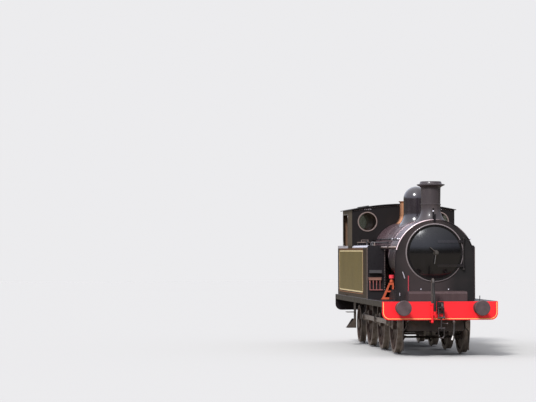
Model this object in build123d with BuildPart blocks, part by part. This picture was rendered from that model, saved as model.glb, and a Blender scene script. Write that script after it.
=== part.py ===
"""Inside-cylinder 0-6-2 side tank steam locomotive of about 1900, standard gauge, in millimetres.

The engine faces -Y, +X is its left-hand side and +Z is up. The origin is midway between the buffer faces,
on the level of the wheel flanges' lowest points, so the rail head lies FLANGE above the origin.
"""

import os
from math import asin, cos, degrees, pi, radians, sin, sqrt, tan

from build123d import *

os.makedirs("parts", exist_ok=True)

# Gauge, rail and overall layout
FLANGE = 28
RAIL = FLANGE
FRAME_LENGTH = 9050
FRONT = -FRAME_LENGTH / 2
REAR = FRAME_LENGTH / 2
RUNNING_GAP = 0.1
CLEAR = 8
PLATE = 12

# Wheels: distances behind the front beam, tread radii and spoke counts
AXLE_LEADING = 1560
AXLE_DRIVING = 3670
AXLE_REAR = 5780
AXLE_TRAILING = 7830
COUPLED_R = 692
TRAILING_R = 470
WHEEL_BACK = 680
TYRE_WIDTH = 140
TYRE_DEPTH = 78
COUPLED_SPOKES = 14
TRAILING_SPOKES = 10
HUB_R = 165
HUB_FACE = 850
HUB_BACK = 668
JOURNAL_R = 90
CRANK_THROW = 305
RIGHT_PHASE = 180
LEFT_PHASE = -90
PIN_R = 48
PIN_END = 950
BOSS_R = 100
INSIDE_THROW = 330
INSIDE_CRANK_X = 330
INSIDE_WEB_R = 150

# Frames
FRAME_INNER = 622
FRAME_THICK = 28
HORN_WIDTH = 250
BOX_HEIGHT = 290
HORN_BOTTOM = RAIL + 480

# Footplate and beams
FOOTPLATE_RISE = 498
FOOTPLATE_TOP = RAIL + COUPLED_R + FOOTPLATE_RISE
BEAM_OVERHANG = 10
SADDLE_HALF = 600
VALANCE_DEPTH = 125
BEAM_HEIGHT = 785
BEAM_BOTTOM = RAIL + BEAM_HEIGHT
BEAM_THICK = 32
BEAM_CORNER = 150
BUFFER_X = 864
BUFFER_HEIGHT = 1054
BUFFER_Z = RAIL + BUFFER_HEIGHT
BUFFER_REACH = 460
BUFFER_HEAD_R = 168
BUFFER_BASE_R = 134

# Boiler, smokebox and mountings
BOILER_PITCH = 2260
BOILER_Z = RAIL + BOILER_PITCH
BOILER_R = 736
SMOKEBOX_R = BOILER_R + 10
SMOKEBOX_FRONT = 750
SMOKEBOX_BACK = 1760
FRONT_PLATE = 14
WING_HALF = 895
DOOR_R = 622
DOOR_HOLE_R = 590
DOOR_RIM = 30
DOOR_DISH = 120
DOOR_SKIN = 12
HINGE_X = DOOR_R + 20
HINGE_FORWARD = 42
STRAP_DROP = 290
STRAP_RISE = 250
STRAP_Z = (BOILER_Z - STRAP_DROP, BOILER_Z + STRAP_RISE)
BARREL_END = AXLE_DRIVING + INSIDE_THROW + INSIDE_WEB_R + 50
GRATE_END = AXLE_REAR - 180
BACKHEAD_DEPTH = 320
FIREBOX_HEIGHT = 760
FIREBOX_BOTTOM = RAIL + FIREBOX_HEIGHT
SPLASH_R = COUPLED_R + FLANGE + 22
FIREBOX_WAIST = RAIL + COUPLED_R + SPLASH_R + 56
CHIMNEY_Y = 1300
DOME_Y = 3530
VALVE_Y = 5060
CHIMNEY_HEIGHT = 3867
CHIMNEY_TOP = RAIL + CHIMNEY_HEIGHT
DOME_HEIGHT = 3815
DOME_TOP = RAIL + DOME_HEIGHT
DOME_R = 295
VALVE_HEIGHT = 3500
VALVE_TOP = RAIL + VALVE_HEIGHT

# Tanks, cab and bunker
TANK_FRONT = 2770
TANK_HALF = 1260
TANK_INNER = BOILER_R + 99
TANK_HEIGHT = 2430
TANK_TOP = RAIL + TANK_HEIGHT
TANK_ROUND = 55
CAB_FRONT = 5640
CAB_BACK = 7560
BUNKER_BACK = FRAME_LENGTH - 390
WAIST = TANK_TOP
EAVES_HEIGHT = 3305
EAVES = RAIL + EAVES_HEIGHT
ROOF_RISE = 135
ROOF_OVERHANG = 60
ROOF_BACK = 7760
DOOR_FRONT = 6480
DOOR_BACK = 7060
CAB_OPENING_BACK = 7440
OPENING_TOP = EAVES - 105
SPECTACLE_X = 882
SPECTACLE_Z = EAVES - 288
SPECTACLE_R = 215
RING_R = 240
FILLER_Y = 4960
FILLER_X = (TANK_INNER + TANK_HALF) / 2
FILLER_R = 165
FOOTPLATE_HALF = TANK_HALF + 13
BEAM_HALF = FOOTPLATE_HALF + BEAM_OVERHANG
FIREBOX_END = CAB_FRONT + BACKHEAD_DEPTH


def back(distance):
    """Row Y of a point that far behind the front beam's face."""
    return FRONT + distance


def save(part, label):
    """Labels a finished piece and writes it as its own file."""
    part.label = label
    export_step(part, f"parts/{label}.step")


def slab(x0, x1, y0, y1, z0, z1, mode=Mode.ADD):
    """A box between two corners, in the builder that is open."""
    with Locations(((x0 + x1) / 2, (y0 + y1) / 2, (z0 + z1) / 2)):
        Box(x1 - x0, y1 - y0, z1 - z0, mode=mode)


def rod(start, end, radius, mode=Mode.ADD):
    """A round bar between two points, in the builder that is open."""
    a, b = Vector(*start), Vector(*end)
    with Locations(Location(Plane(origin=(a + b) * 0.5, z_dir=b - a))):
        Cylinder(radius, (b - a).length, mode=mode)


def both_sides(part):
    """A piece on the left-hand side together with its mirror image on the right."""
    return Compound(children=[part, mirror(part, about=Plane.YZ)])


# Wheels. Each is drawn on the left-hand side with its axle on the X axis and its crank towards -Y.
def wheel_blank(tread, hub_r, hub_face, spokes, spoke_width):
    """Tyre, rim, hub and straight tapered spokes."""
    inner = tread - TYRE_DEPTH
    face = WHEEL_BACK + TYRE_WIDTH
    flange_top, flange_root = WHEEL_BACK + 14, WHEEL_BACK + 34
    mid = WHEEL_BACK + TYRE_WIDTH / 2
    with BuildPart() as wheel:
        with BuildSketch(Plane.XY):
            with BuildLine():
                Polyline(
                    (WHEEL_BACK, inner),
                    (WHEEL_BACK, tread + FLANGE * 0.6),
                    (flange_top, tread + FLANGE),
                    (flange_root, tread),
                    (face, tread - 4),
                    (face, inner),
                    close=True,
                )
            make_face()
        revolve(axis=Axis.X)
        with BuildSketch(Plane.YZ.offset(HUB_BACK)):
            Circle(hub_r)
        extrude(amount=hub_face - HUB_BACK)
        with BuildSketch(Plane.YZ.offset(mid - 30)):
            with PolarLocations(0, spokes, start_angle=180 / spokes):
                Polygon(
                    (hub_r * 0.8, -spoke_width / 2),
                    (inner + 6, -spoke_width * 0.36),
                    (inner + 6, spoke_width * 0.36),
                    (hub_r * 0.8, spoke_width / 2),
                    align=None,
                )
        extrude(amount=60)
    return wheel.part


def coupled_wheel():
    """A coupled wheel: blank, crank web, crank pin with its collar, and balance weight."""
    inner = COUPLED_R - TYRE_DEPTH
    blank = wheel_blank(COUPLED_R, HUB_R, HUB_FACE, COUPLED_SPOKES, 62)
    with BuildPart() as wheel:
        add(blank)
        with BuildSketch(Plane.YZ.offset(HUB_FACE - 95)):
            with BuildLine():
                lean = asin((HUB_R - BOSS_R) / CRANK_THROW)
                Polyline(
                    (HUB_R * sin(-lean), HUB_R * cos(lean)),
                    (-CRANK_THROW + BOSS_R * sin(-lean), BOSS_R * cos(lean)),
                    (-CRANK_THROW + BOSS_R * sin(-lean), -BOSS_R * cos(lean)),
                    (HUB_R * sin(-lean), -HUB_R * cos(lean)),
                    close=True,
                )
            make_face()
            with Locations((-CRANK_THROW, 0)):
                Circle(BOSS_R)
        extrude(amount=95)
        rod((HUB_FACE - 1, -CRANK_THROW, 0), (PIN_END, -CRANK_THROW, 0), PIN_R)
        rod((PIN_END - 18, -CRANK_THROW, 0), (PIN_END, -CRANK_THROW, 0), PIN_R + 22)
        with BuildSketch(Plane.YZ.offset(WHEEL_BACK + 35)):
            Circle(inner + 4)
            with Locations((-380, 0)):
                Rectangle(2 * 760, 2 * inner + 40, mode=Mode.SUBTRACT)
        extrude(amount=72)
    return wheel.part


def trailing_wheel():
    """A plain spoked carrying wheel."""
    return wheel_blank(TRAILING_R, 120, 830, TRAILING_SPOKES, 58)


def place(part, axle, tread, phase):
    """Turns a wheel part about its axle and moves it to its axle's place."""
    return Pos(0, back(axle), RAIL + tread) * Rot(phase, 0, 0) * part


COUPLED = (("leading", AXLE_LEADING), ("driving", AXLE_DRIVING), ("rear", AXLE_REAR))
wheel_shape = coupled_wheel()
for name, axle in COUPLED:
    left = place(wheel_shape, axle, COUPLED_R, LEFT_PHASE)
    right = place(mirror(wheel_shape, about=Plane.YZ), axle, COUPLED_R, RIGHT_PHASE)
    save(Compound(children=[left, right]), f"{name}_wheels")
trailing_shape = place(trailing_wheel(), AXLE_TRAILING, TRAILING_R, 0)
save(both_sides(trailing_shape), "trailing_wheels")

for name, axle, tread in (
    ("leading", AXLE_LEADING, COUPLED_R),
    ("rear", AXLE_REAR, COUPLED_R),
    ("trailing", AXLE_TRAILING, TRAILING_R),
):
    with BuildPart() as shaft:
        rod((-HUB_BACK, 0, 0), (HUB_BACK, 0, 0), JOURNAL_R)
        rod((-300, 0, 0), (300, 0, 0), JOURNAL_R + 8)
    save(place(shaft.part, axle, tread, 0), f"{name}_axle")

# The driving axle has two inside cranks, each opposite the outside crank of its own side.
# An angle of 0 points to the rear, and the angle turns from the rear towards the top.
with BuildPart() as crank_axle:
    for side, turn in ((1, -90), (-1, 180)):
        throw = (INSIDE_THROW * cos(radians(turn)), INSIDE_THROW * sin(radians(turn)))
        inner_x, outer_x = side * (INSIDE_CRANK_X - 75), side * (INSIDE_CRANK_X + 75)
        for web_x in (inner_x, outer_x):
            with BuildSketch(Plane.YZ.offset(web_x - 42)):
                with Locations((0, 0), throw):
                    Circle(INSIDE_WEB_R)
                with Locations(Location((throw[0] / 2, throw[1] / 2), turn)):
                    Rectangle(INSIDE_THROW, 2 * INSIDE_WEB_R)
            extrude(amount=84)
        rod((inner_x, *throw), (outer_x, *throw), JOURNAL_R)
        rod((outer_x, 0, 0), (side * HUB_BACK, 0, 0), JOURNAL_R)
    rod((-INSIDE_CRANK_X + 75, 0, 0), (INSIDE_CRANK_X - 75, 0, 0), JOURNAL_R + 8)
save(place(crank_axle.part, AXLE_DRIVING, COUPLED_R, 0), "driving_axle")

# Coupling rods: fluted bars with a boss at each crank pin, in one plane outside the wheels
ROD_INNER = HUB_FACE + 8
ROD_WIDTH = 62
ROD_BOSS_R = 88
ROD_DEPTH = 108


def coupling_rod(offset_y, offset_z):
    """The left-hand rod with its pins at the given offset from the axle centres."""
    pins = [(back(axle) + offset_y, RAIL + COUPLED_R + offset_z) for _, axle in COUPLED]
    with BuildPart() as part:
        for (y0, z0), (y1, _) in zip(pins, pins[1:]):
            with BuildSketch(Plane.YZ.offset(ROD_INNER + 8)):
                with Locations(((y0 + y1) / 2, z0)):
                    Rectangle(y1 - y0, ROD_DEPTH)
            extrude(amount=ROD_WIDTH - 16)
            for flute_x in (ROD_INNER + 8, ROD_INNER + ROD_WIDTH - 20):
                with BuildSketch(Plane.YZ.offset(flute_x)):
                    with Locations(((y0 + y1) / 2, z0)):
                        SlotOverall(y1 - y0 - 2 * ROD_BOSS_R - 60, ROD_DEPTH - 44)
                extrude(amount=12, mode=Mode.SUBTRACT)
        for y, z in pins:
            rod((ROD_INNER, y, z), (ROD_INNER + ROD_WIDTH, y, z), ROD_BOSS_R)
            slab(ROD_INNER + 12, ROD_INNER + ROD_WIDTH - 12, y - 30, y + 30, z, z + ROD_BOSS_R + 26)
        for y, z in pins:
            rod((ROD_INNER, y, z), (ROD_INNER + ROD_WIDTH, y, z), PIN_R + RUNNING_GAP, Mode.SUBTRACT)
        knuckle_y, knuckle_z = pins[1][0] + 210, pins[1][1]
        rod(
            (ROD_INNER + 2, knuckle_y, knuckle_z),
            (ROD_INNER + ROD_WIDTH - 2, knuckle_y, knuckle_z),
            ROD_DEPTH / 2 + 8,
        )
    return part.part


save(coupling_rod(0, CRANK_THROW), "coupling_rod_left")
save(mirror(coupling_rod(CRANK_THROW, 0), about=Plane.YZ), "coupling_rod_right")


# Frames: two plates with horn gaps and lightening holes, tied by stretchers and horn stays
def frame_outline():
    """Side profile of a frame plate as row (Y, Z) points, from the front beam round its lower edge."""
    top = FOOTPLATE_TOP - PLATE
    low, shallow = HORN_BOTTOM, RAIL + 640
    points = [(FRONT + BEAM_THICK, top), (FRONT + BEAM_THICK, BEAM_BOTTOM + 10)]
    for _, axle in COUPLED:
        points += [(back(axle) - 560, shallow), (back(axle) - 300, low)]
        points += [(back(axle) + 300, low), (back(axle) + 560, shallow)]
    trailing = back(AXLE_TRAILING)
    points += [(trailing - 560, shallow), (trailing - 300, RAIL + 300)]
    points += [(trailing + 300, RAIL + 300), (trailing + 560, shallow)]
    points += [(REAR - BEAM_THICK, BEAM_BOTTOM + 10), (REAR - BEAM_THICK, top)]
    return points


LIGHTENING = ((AXLE_LEADING, AXLE_DRIVING), (AXLE_DRIVING, AXLE_REAR), (AXLE_REAR, AXLE_TRAILING))
HORNS = [(axle, COUPLED_R, HORN_BOTTOM) for _, axle in COUPLED]
HORNS.append((AXLE_TRAILING, TRAILING_R, RAIL + 300))
with BuildPart() as frame_plates:
    with BuildSketch(Plane.YZ.offset(FRAME_INNER)):
        with BuildLine():
            Polyline(*frame_outline(), close=True)
        make_face()
        for axle, tread, low in HORNS:
            top = RAIL + tread + BOX_HEIGHT / 2 + 40
            with Locations((back(axle), (low + top) / 2 - 20)):
                Rectangle(HORN_WIDTH, top - low + 40, mode=Mode.SUBTRACT)
        with Locations(*[(back((a + b) / 2), RAIL + 920) for a, b in LIGHTENING]):
            SlotOverall(460, 210, mode=Mode.SUBTRACT)
    extrude(amount=FRAME_THICK)
    for axle, tread, low in HORNS:
        slab(
            FRAME_INNER - 20, FRAME_INNER + FRAME_THICK,
            back(axle) - HORN_WIDTH / 2 - 70, back(axle) + HORN_WIDTH / 2 + 70,
            low - 36, low,
        )
save(both_sides(frame_plates.part), "frame_plates")

# Stretchers between the frames: distance behind the beam and height of the lower edge
STRETCHERS = ((330, 820), (2230, 700), (2930, 700), (6500, 760), (8500, 800))
with BuildPart() as stretchers:
    for distance, z_low in STRETCHERS:
        slab(
            -FRAME_INNER, FRAME_INNER, back(distance) - 14, back(distance) + 14,
            RAIL + z_low, FOOTPLATE_TOP - PLATE,
        )
save(stretchers.part, "frame_stretchers")
MOTION_PLATE = back(STRETCHERS[1][0]) - 14

# Axleboxes in the horns, bored for the journals with a running gap
BOX_INNER, BOX_OUTER = FRAME_INNER - 55, WHEEL_BACK - 20
boxes = []
for axle, tread, low in HORNS:
    centre = RAIL + tread
    with BuildPart() as box:
        slab(
            BOX_INNER, BOX_OUTER,
            back(axle) - HORN_WIDTH / 2, back(axle) + HORN_WIDTH / 2,
            centre - BOX_HEIGHT / 2, centre + BOX_HEIGHT / 2,
        )
        rod((BOX_INNER, back(axle), centre), (BOX_OUTER, back(axle), centre), JOURNAL_R + RUNNING_GAP, Mode.SUBTRACT)
    boxes += [box.part, mirror(box.part, about=Plane.YZ)]
save(Compound(children=boxes), "axleboxes")

# Laminated springs above the trailing boxes and below the coupled ones, each leaf shorter than the last
LEAF_THICK = 16
LEAVES = 6
springs = []
for axle, tread, low in HORNS:
    coupled = axle != AXLE_TRAILING
    seat = low - 36 if coupled else RAIL + tread + BOX_HEIGHT / 2
    step = -1 if coupled else 1
    x = FRAME_INNER if coupled else FRAME_INNER - 40
    with BuildPart() as spring:
        for leaf in range(LEAVES):
            near = seat + step * (40 + leaf * LEAF_THICK)
            far = near + step * LEAF_THICK
            half = 440 - 65 * leaf
            y = back(axle)
            slab(x - 36, x + 36, y - half, y + half, min(near, far), max(near, far))
        near, far = seat, seat + step * (56 + LEAVES * LEAF_THICK)
        slab(x - 39, x + 39, y - 45, y + 45, min(near, far), max(near, far))
    springs += [spring.part, mirror(spring.part, about=Plane.YZ)]
save(Compound(children=springs), "leaf_springs")

# Splashers: plate covers over the coupled wheels where they rise through the footplate
SPLASH_INNER, SPLASH_OUTER = 658, 844
SPLASH_THICK = 8
SPLASH_HALF = sqrt(SPLASH_R**2 - (FOOTPLATE_TOP - RAIL - COUPLED_R) ** 2)


def splasher(axle, grow=0, inside=True):
    """The left-hand cover over one wheel, or a solid blank of it grown by a margin."""
    centre = RAIL + COUPLED_R
    with BuildPart() as part:
        rod((SPLASH_INNER, back(axle), centre), (SPLASH_OUTER + grow, back(axle), centre), SPLASH_R + grow)
        slab(
            SPLASH_INNER - 1, SPLASH_OUTER + grow + 1,
            back(axle) - SPLASH_R - 60, back(axle) + SPLASH_R + 60,
            RAIL - 60, FOOTPLATE_TOP, Mode.SUBTRACT,
        )
        if inside:
            rod(
                (SPLASH_INNER + SPLASH_THICK, back(axle), centre),
                (SPLASH_OUTER - SPLASH_THICK, back(axle), centre),
                SPLASH_R - SPLASH_THICK, Mode.SUBTRACT,
            )
    return part.part


splashers = [splasher(axle) for _, axle in COUPLED]
save(Compound(children=splashers + [mirror(p, about=Plane.YZ) for p in splashers]), "splashers")

# Footplate with hanging valances, a well over the motion, and slots for the coupled wheels
with BuildPart() as footplate:
    slab(-FOOTPLATE_HALF, FOOTPLATE_HALF, FRONT + BEAM_THICK, REAR - BEAM_THICK, FOOTPLATE_TOP - PLATE, FOOTPLATE_TOP)
    slab(
        -SADDLE_HALF, SADDLE_HALF, back(SMOKEBOX_FRONT + FRONT_PLATE), back(CAB_FRONT),
        FOOTPLATE_TOP - PLATE - 1, FOOTPLATE_TOP + 1, Mode.SUBTRACT,
    )
    for _, axle in COUPLED:
        for side in (-1, 1):
            with Locations((side * (SPLASH_INNER + SPLASH_OUTER) / 2, back(axle), FOOTPLATE_TOP - PLATE / 2)):
                Box(
                    SPLASH_OUTER - SPLASH_INNER - 2 * SPLASH_THICK, 2 * SPLASH_HALF - 2 * SPLASH_THICK, PLATE + 2,
                    mode=Mode.SUBTRACT,
                )
save(footplate.part, "footplate")

# Valances under the footplate's edges
with BuildPart() as valance:
    slab(
        FOOTPLATE_HALF - PLATE, FOOTPLATE_HALF, FRONT + BEAM_THICK, REAR - BEAM_THICK,
        FOOTPLATE_TOP - VALANCE_DEPTH, FOOTPLATE_TOP - PLATE,
    )
save(both_sides(valance.part), "valances")


# Buffer beams, with large lower corners
def beam(front_face):
    """A buffer beam that is BEAM_THICK deep behind its front face's Y."""
    height = FOOTPLATE_TOP - BEAM_BOTTOM
    with BuildPart() as part:
        slab(-BEAM_HALF, BEAM_HALF, front_face, front_face + BEAM_THICK, BEAM_BOTTOM, BEAM_BOTTOM + height)
        low_corners = part.edges().filter_by(Axis.Y).group_by(Axis.Z)[0]
        fillet(low_corners, BEAM_CORNER)
    return part.part


save(Compound(children=[beam(FRONT), beam(REAR - BEAM_THICK)]), "buffer_beams")


# Buffers: a stepped cast stock and a ram with a flat head
def buffer_stock():
    """Front left-hand buffer stock, open at its mouth for the ram."""
    with BuildPart() as part:
        with BuildSketch(Plane.XZ.offset(-FRONT)):
            with Locations((BUFFER_X, BUFFER_Z)):
                Circle(BUFFER_BASE_R)
        extrude(amount=28)
        for reach, radius in ((60, 124), (210, 112), (285, 122)):
            rod((BUFFER_X, FRONT, BUFFER_Z), (BUFFER_X, FRONT - reach, BUFFER_Z), radius)
        rod((BUFFER_X, FRONT - 100, BUFFER_Z), (BUFFER_X, FRONT - 290, BUFFER_Z), 82, Mode.SUBTRACT)
    return part.part


def buffer_head():
    """Front left-hand ram and head."""
    face = FRONT - BUFFER_REACH
    with BuildPart() as part:
        rod((BUFFER_X, FRONT - 100, BUFFER_Z), (BUFFER_X, face + 20, BUFFER_Z), 80)
        rod((BUFFER_X, face + 60, BUFFER_Z), (BUFFER_X, face + 20, BUFFER_Z), 105)
        rod((BUFFER_X, face + 34, BUFFER_Z), (BUFFER_X, face, BUFFER_Z), BUFFER_HEAD_R)
        fillet(part.edges().group_by(Axis.Y)[0], 10)
    return part.part


def four_corners(part):
    """A front left-hand piece repeated at the other three corners of the engine."""
    front = [part, mirror(part, about=Plane.YZ)]
    return Compound(children=front + [mirror(p, about=Plane.XZ) for p in front])


save(four_corners(buffer_stock()), "buffer_stocks")
save(four_corners(buffer_head()), "buffer_heads")

# Cylinder block with the smokebox saddle, between the frames
CYLINDER_Z = RAIL + 890
CYLINDER_X = 330
CYLINDER_FRONT = 560
CYLINDER_BACK = AXLE_LEADING - JOURNAL_R - 90
with BuildPart() as cylinders:
    slab(-FRAME_INNER, FRAME_INNER, back(CYLINDER_FRONT), back(CYLINDER_BACK), RAIL + 520, FOOTPLATE_TOP - PLATE)
    slab(
        -SADDLE_HALF, SADDLE_HALF, back(SMOKEBOX_FRONT + FRONT_PLATE), back(SMOKEBOX_BACK - 40),
        FOOTPLATE_TOP - PLATE, BOILER_Z - SMOKEBOX_R * cos(asin(SADDLE_HALF / SMOKEBOX_R)),
    )
    for x in (-CYLINDER_X, CYLINDER_X):
        rod((x, back(CYLINDER_FRONT - 45), CYLINDER_Z), (x, back(CYLINDER_BACK + 20), CYLINDER_Z), 270)
    rod((0, back(SMOKEBOX_FRONT), BOILER_Z), (0, back(SMOKEBOX_BACK), BOILER_Z), SMOKEBOX_R, Mode.SUBTRACT)
save(cylinders.part, "cylinder_block")

# Two upper slide bars for each inside cylinder, carried to the motion plate over the leading axle
with BuildPart() as slide_bars:
    for x in (-CYLINDER_X, CYLINDER_X):
        for dx in (-60, 60):
            slab(x + dx - 20, x + dx + 20, back(CYLINDER_BACK + 20), MOTION_PLATE, CYLINDER_Z + 95, CYLINDER_Z + 135)
save(slide_bars.part, "slide_bars")

# Sloping cover over the front of the frames
COVER_HALF = FRAME_INNER + FRAME_THICK
COVER_FRONT = 260
COVER_TOP = FOOTPLATE_TOP + 210
with BuildPart() as cover:
    with BuildSketch(Plane.YZ.offset(-COVER_HALF)):
        with BuildLine():
            Polyline(
                (back(COVER_FRONT), FOOTPLATE_TOP),
                (back(COVER_FRONT), COVER_TOP - 45),
                (back(COVER_FRONT + 60), COVER_TOP),
                (back(SMOKEBOX_FRONT), COVER_TOP + 10),
                (back(SMOKEBOX_FRONT), FOOTPLATE_TOP),
                close=True,
            )
        make_face()
    extrude(amount=2 * COVER_HALF)
save(cover.part, "front_cover")

# Smokebox wrapper: a drum open at the front, with the chimney's throat and a tubeplate at the back
with BuildPart() as smokebox:
    front_y, back_y = back(SMOKEBOX_FRONT + FRONT_PLATE), back(SMOKEBOX_BACK)
    rod((0, front_y, BOILER_Z), (0, back_y, BOILER_Z), SMOKEBOX_R)
    rod((0, front_y, BOILER_Z), (0, back_y - 20, BOILER_Z), SMOKEBOX_R - PLATE, Mode.SUBTRACT)
    rod((0, back(CHIMNEY_Y), BOILER_Z), (0, back(CHIMNEY_Y), BOILER_Z + SMOKEBOX_R + 10), 190, Mode.SUBTRACT)
save(smokebox.part, "smokebox")

# Blastpipe and petticoat under the chimney
with BuildPart() as blastpipe:
    with BuildSketch(Plane.XZ):
        with BuildLine():
            Polyline(
                (0, BOILER_Z - 760), (150, BOILER_Z - 760), (150, BOILER_Z - 690), (95, BOILER_Z - 660),
                (70, BOILER_Z - 120), (85, BOILER_Z - 100), (85, BOILER_Z - 60), (0, BOILER_Z - 60), close=True,
            )
        make_face()
    revolve(axis=Axis.Z)
with BuildPart() as smokebox_space:
    rod((0, back(CHIMNEY_Y) - 300, BOILER_Z), (0, back(CHIMNEY_Y) + 300, BOILER_Z), SMOKEBOX_R - PLATE)
save((Pos(0, back(CHIMNEY_Y), 0) * blastpipe.part) & smokebox_space.part, "blastpipe")

# Smokebox front plate: one arch over the top at its full width, and straight sides that stand on the footplate
ARCH_Z = BOILER_Z + SMOKEBOX_R - WING_HALF
with BuildPart() as front_plate:
    with BuildSketch(Plane.XZ.offset(-back(SMOKEBOX_FRONT))):
        with BuildLine():
            ThreePointArc((-WING_HALF, ARCH_Z), (0, ARCH_Z + WING_HALF), (WING_HALF, ARCH_Z))
            Polyline(
                (WING_HALF, ARCH_Z), (WING_HALF, FOOTPLATE_TOP), (-WING_HALF, FOOTPLATE_TOP), (-WING_HALF, ARCH_Z)
            )
        make_face()
        with Locations((0, BOILER_Z)):
            Circle(DOOR_HOLE_R, mode=Mode.SUBTRACT)
    extrude(amount=-FRONT_PLATE)
save(front_plate.part, "smokebox_front")

# Smokebox door: flat rim, dished skin and two hinge straps that follow the dish
DISH_R = ((DOOR_HOLE_R - 15) ** 2 + DOOR_DISH**2) / (2 * DOOR_DISH)
RIM_FACE = back(SMOKEBOX_FRONT) - 3 - DOOR_RIM
HINGE_Y = back(SMOKEBOX_FRONT) - HINGE_FORWARD
STRAP_HEIGHT = 64
STRAP_THICK = 16
STRAP_START = 40
STRAP_REACH = DOOR_R - 120


def dish(part_back, grow):
    """A lens-shaped blank: the door's front form grown forward by a thickness."""
    radius = DOOR_HOLE_R - 15
    with BuildPart() as lens:
        with BuildSketch(Plane.XY):
            with BuildLine():
                Line((0, part_back), (DOOR_R, part_back))
                Line((DOOR_R, part_back), (DOOR_R, RIM_FACE - grow))
                Line((DOOR_R, RIM_FACE - grow), (radius, RIM_FACE - grow))
                ThreePointArc(
                    (radius, RIM_FACE - grow),
                    (radius / 2, RIM_FACE - grow - DISH_R * (1 - radius**2 / (4 * DISH_R**2)) ** 0.5 + DISH_R - DOOR_DISH),
                    (0, RIM_FACE - grow - DOOR_DISH),
                )
                Line((0, RIM_FACE - grow - DOOR_DISH), (0, part_back))
            make_face()
        revolve(axis=Axis.Y)
    return Pos(0, 0, BOILER_Z) * lens.part


door_back = back(SMOKEBOX_FRONT) - 3
door_blank = dish(door_back, 0)
strap_blank = dish(door_back, STRAP_THICK)
with BuildPart() as door:
    add(door_blank)
    with BuildPart(mode=Mode.PRIVATE) as hollow:
        add(dish(door_back + DOOR_RIM + 10, -DOOR_SKIN))
        rod((0, RIM_FACE - 400, BOILER_Z), (0, door_back + 60, BOILER_Z), DOOR_HOLE_R - 30, Mode.INTERSECT)
    add(hollow.part, mode=Mode.SUBTRACT)
    for z in STRAP_Z:
        with BuildPart(mode=Mode.PRIVATE) as strap:
            add(strap_blank)
            with Locations(((STRAP_START + DOOR_R) / 2, RIM_FACE - 100, z)):
                Box(DOOR_R - STRAP_START, 300, STRAP_HEIGHT, mode=Mode.INTERSECT)
        add(strap.part)
        slab(STRAP_REACH, HINGE_X, HINGE_Y - 10, HINGE_Y + 10, z - STRAP_HEIGHT / 2, z + STRAP_HEIGHT / 2)
        rod((HINGE_X, HINGE_Y, z - STRAP_HEIGHT / 2), (HINGE_X, HINGE_Y, z + STRAP_HEIGHT / 2), 27)
    for z in STRAP_Z:
        rod((HINGE_X, HINGE_Y, z - 40), (HINGE_X, HINGE_Y, z + 40), 14 + RUNNING_GAP, Mode.SUBTRACT)
save(door.part, "smokebox_door")

# Door dart boss with its two handles
HANDLE_Y = RIM_FACE - DOOR_DISH
with BuildPart() as handles:
    rod((0, HANDLE_Y + 4, BOILER_Z), (0, HANDLE_Y - 22, BOILER_Z), 60)
    rod((0, HANDLE_Y - 22, BOILER_Z), (0, HANDLE_Y - 95, BOILER_Z), 24)
    rod((0, HANDLE_Y - 34, BOILER_Z), (0, HANDLE_Y - 58, BOILER_Z), 36)
    rod((0, HANDLE_Y - 68, BOILER_Z), (0, HANDLE_Y - 92, BOILER_Z), 34)
    for y, angle, length in ((HANDLE_Y - 46, 262, 250), (HANDLE_Y - 80, 140, 190)):
        end = (length * cos(radians(angle)), y - 14, BOILER_Z + length * sin(radians(angle)))
        rod((0, y, BOILER_Z), end, 13)
    add(door_blank, mode=Mode.SUBTRACT)
save(handles.part, "door_handles")

# Hinge rod on two brackets beside the door
with BuildPart() as hinge:
    low, high = STRAP_Z[0] - 75, STRAP_Z[1] + 75
    rod((HINGE_X, HINGE_Y, low - 20), (HINGE_X, HINGE_Y, high + 20), 14)
    for z in (low, high):
        slab(HINGE_X - 24, HINGE_X + 24, HINGE_Y - 24, back(SMOKEBOX_FRONT), z - 16, z + 16)
save(hinge.part, "door_hinge")


# Boiler barrel with cladding bands
def barrel_cylinder(y0, y1, radius):
    """A solid cylinder on the boiler's centre line."""
    with BuildPart() as part:
        rod((0, y0, BOILER_Z), (0, y1, BOILER_Z), radius)
    return part.part


BANDS = (SMOKEBOX_BACK + 60, SMOKEBOX_BACK + 570, TANK_FRONT + 130, BARREL_END - 60)
with BuildPart() as boiler:
    rod((0, back(SMOKEBOX_BACK), BOILER_Z), (0, back(BARREL_END), BOILER_Z), BOILER_R)
    for y in BANDS:
        rod((0, back(y), BOILER_Z), (0, back(y) + 50, BOILER_Z), BOILER_R + 5)

# Firebox: round-topped casing that narrows to pass between the frames
FIREBOX_HALF = FRAME_INNER - 42
with BuildPart() as firebox:
    with BuildSketch(Plane.XZ.offset(-back(BARREL_END))):
        with Locations((0, BOILER_Z)):
            Circle(BOILER_R)
        with Locations((0, (BOILER_Z + FIREBOX_WAIST) / 2)):
            Rectangle(2 * BOILER_R, BOILER_Z - FIREBOX_WAIST)
        with Locations((0, (FIREBOX_WAIST + FIREBOX_BOTTOM) / 2)):
            Rectangle(2 * FIREBOX_HALF, FIREBOX_WAIST - FIREBOX_BOTTOM)
    extrude(amount=-(GRATE_END - BARREL_END))
    with BuildSketch(Plane.XZ.offset(-back(GRATE_END))):
        with Locations((0, BOILER_Z)):
            Circle(BOILER_R)
        with Locations((0, (BOILER_Z + FIREBOX_WAIST) / 2)):
            Rectangle(2 * BOILER_R, BOILER_Z - FIREBOX_WAIST)
    extrude(amount=-(FIREBOX_END - GRATE_END))
save(boiler.part + firebox.part, "boiler")

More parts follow.
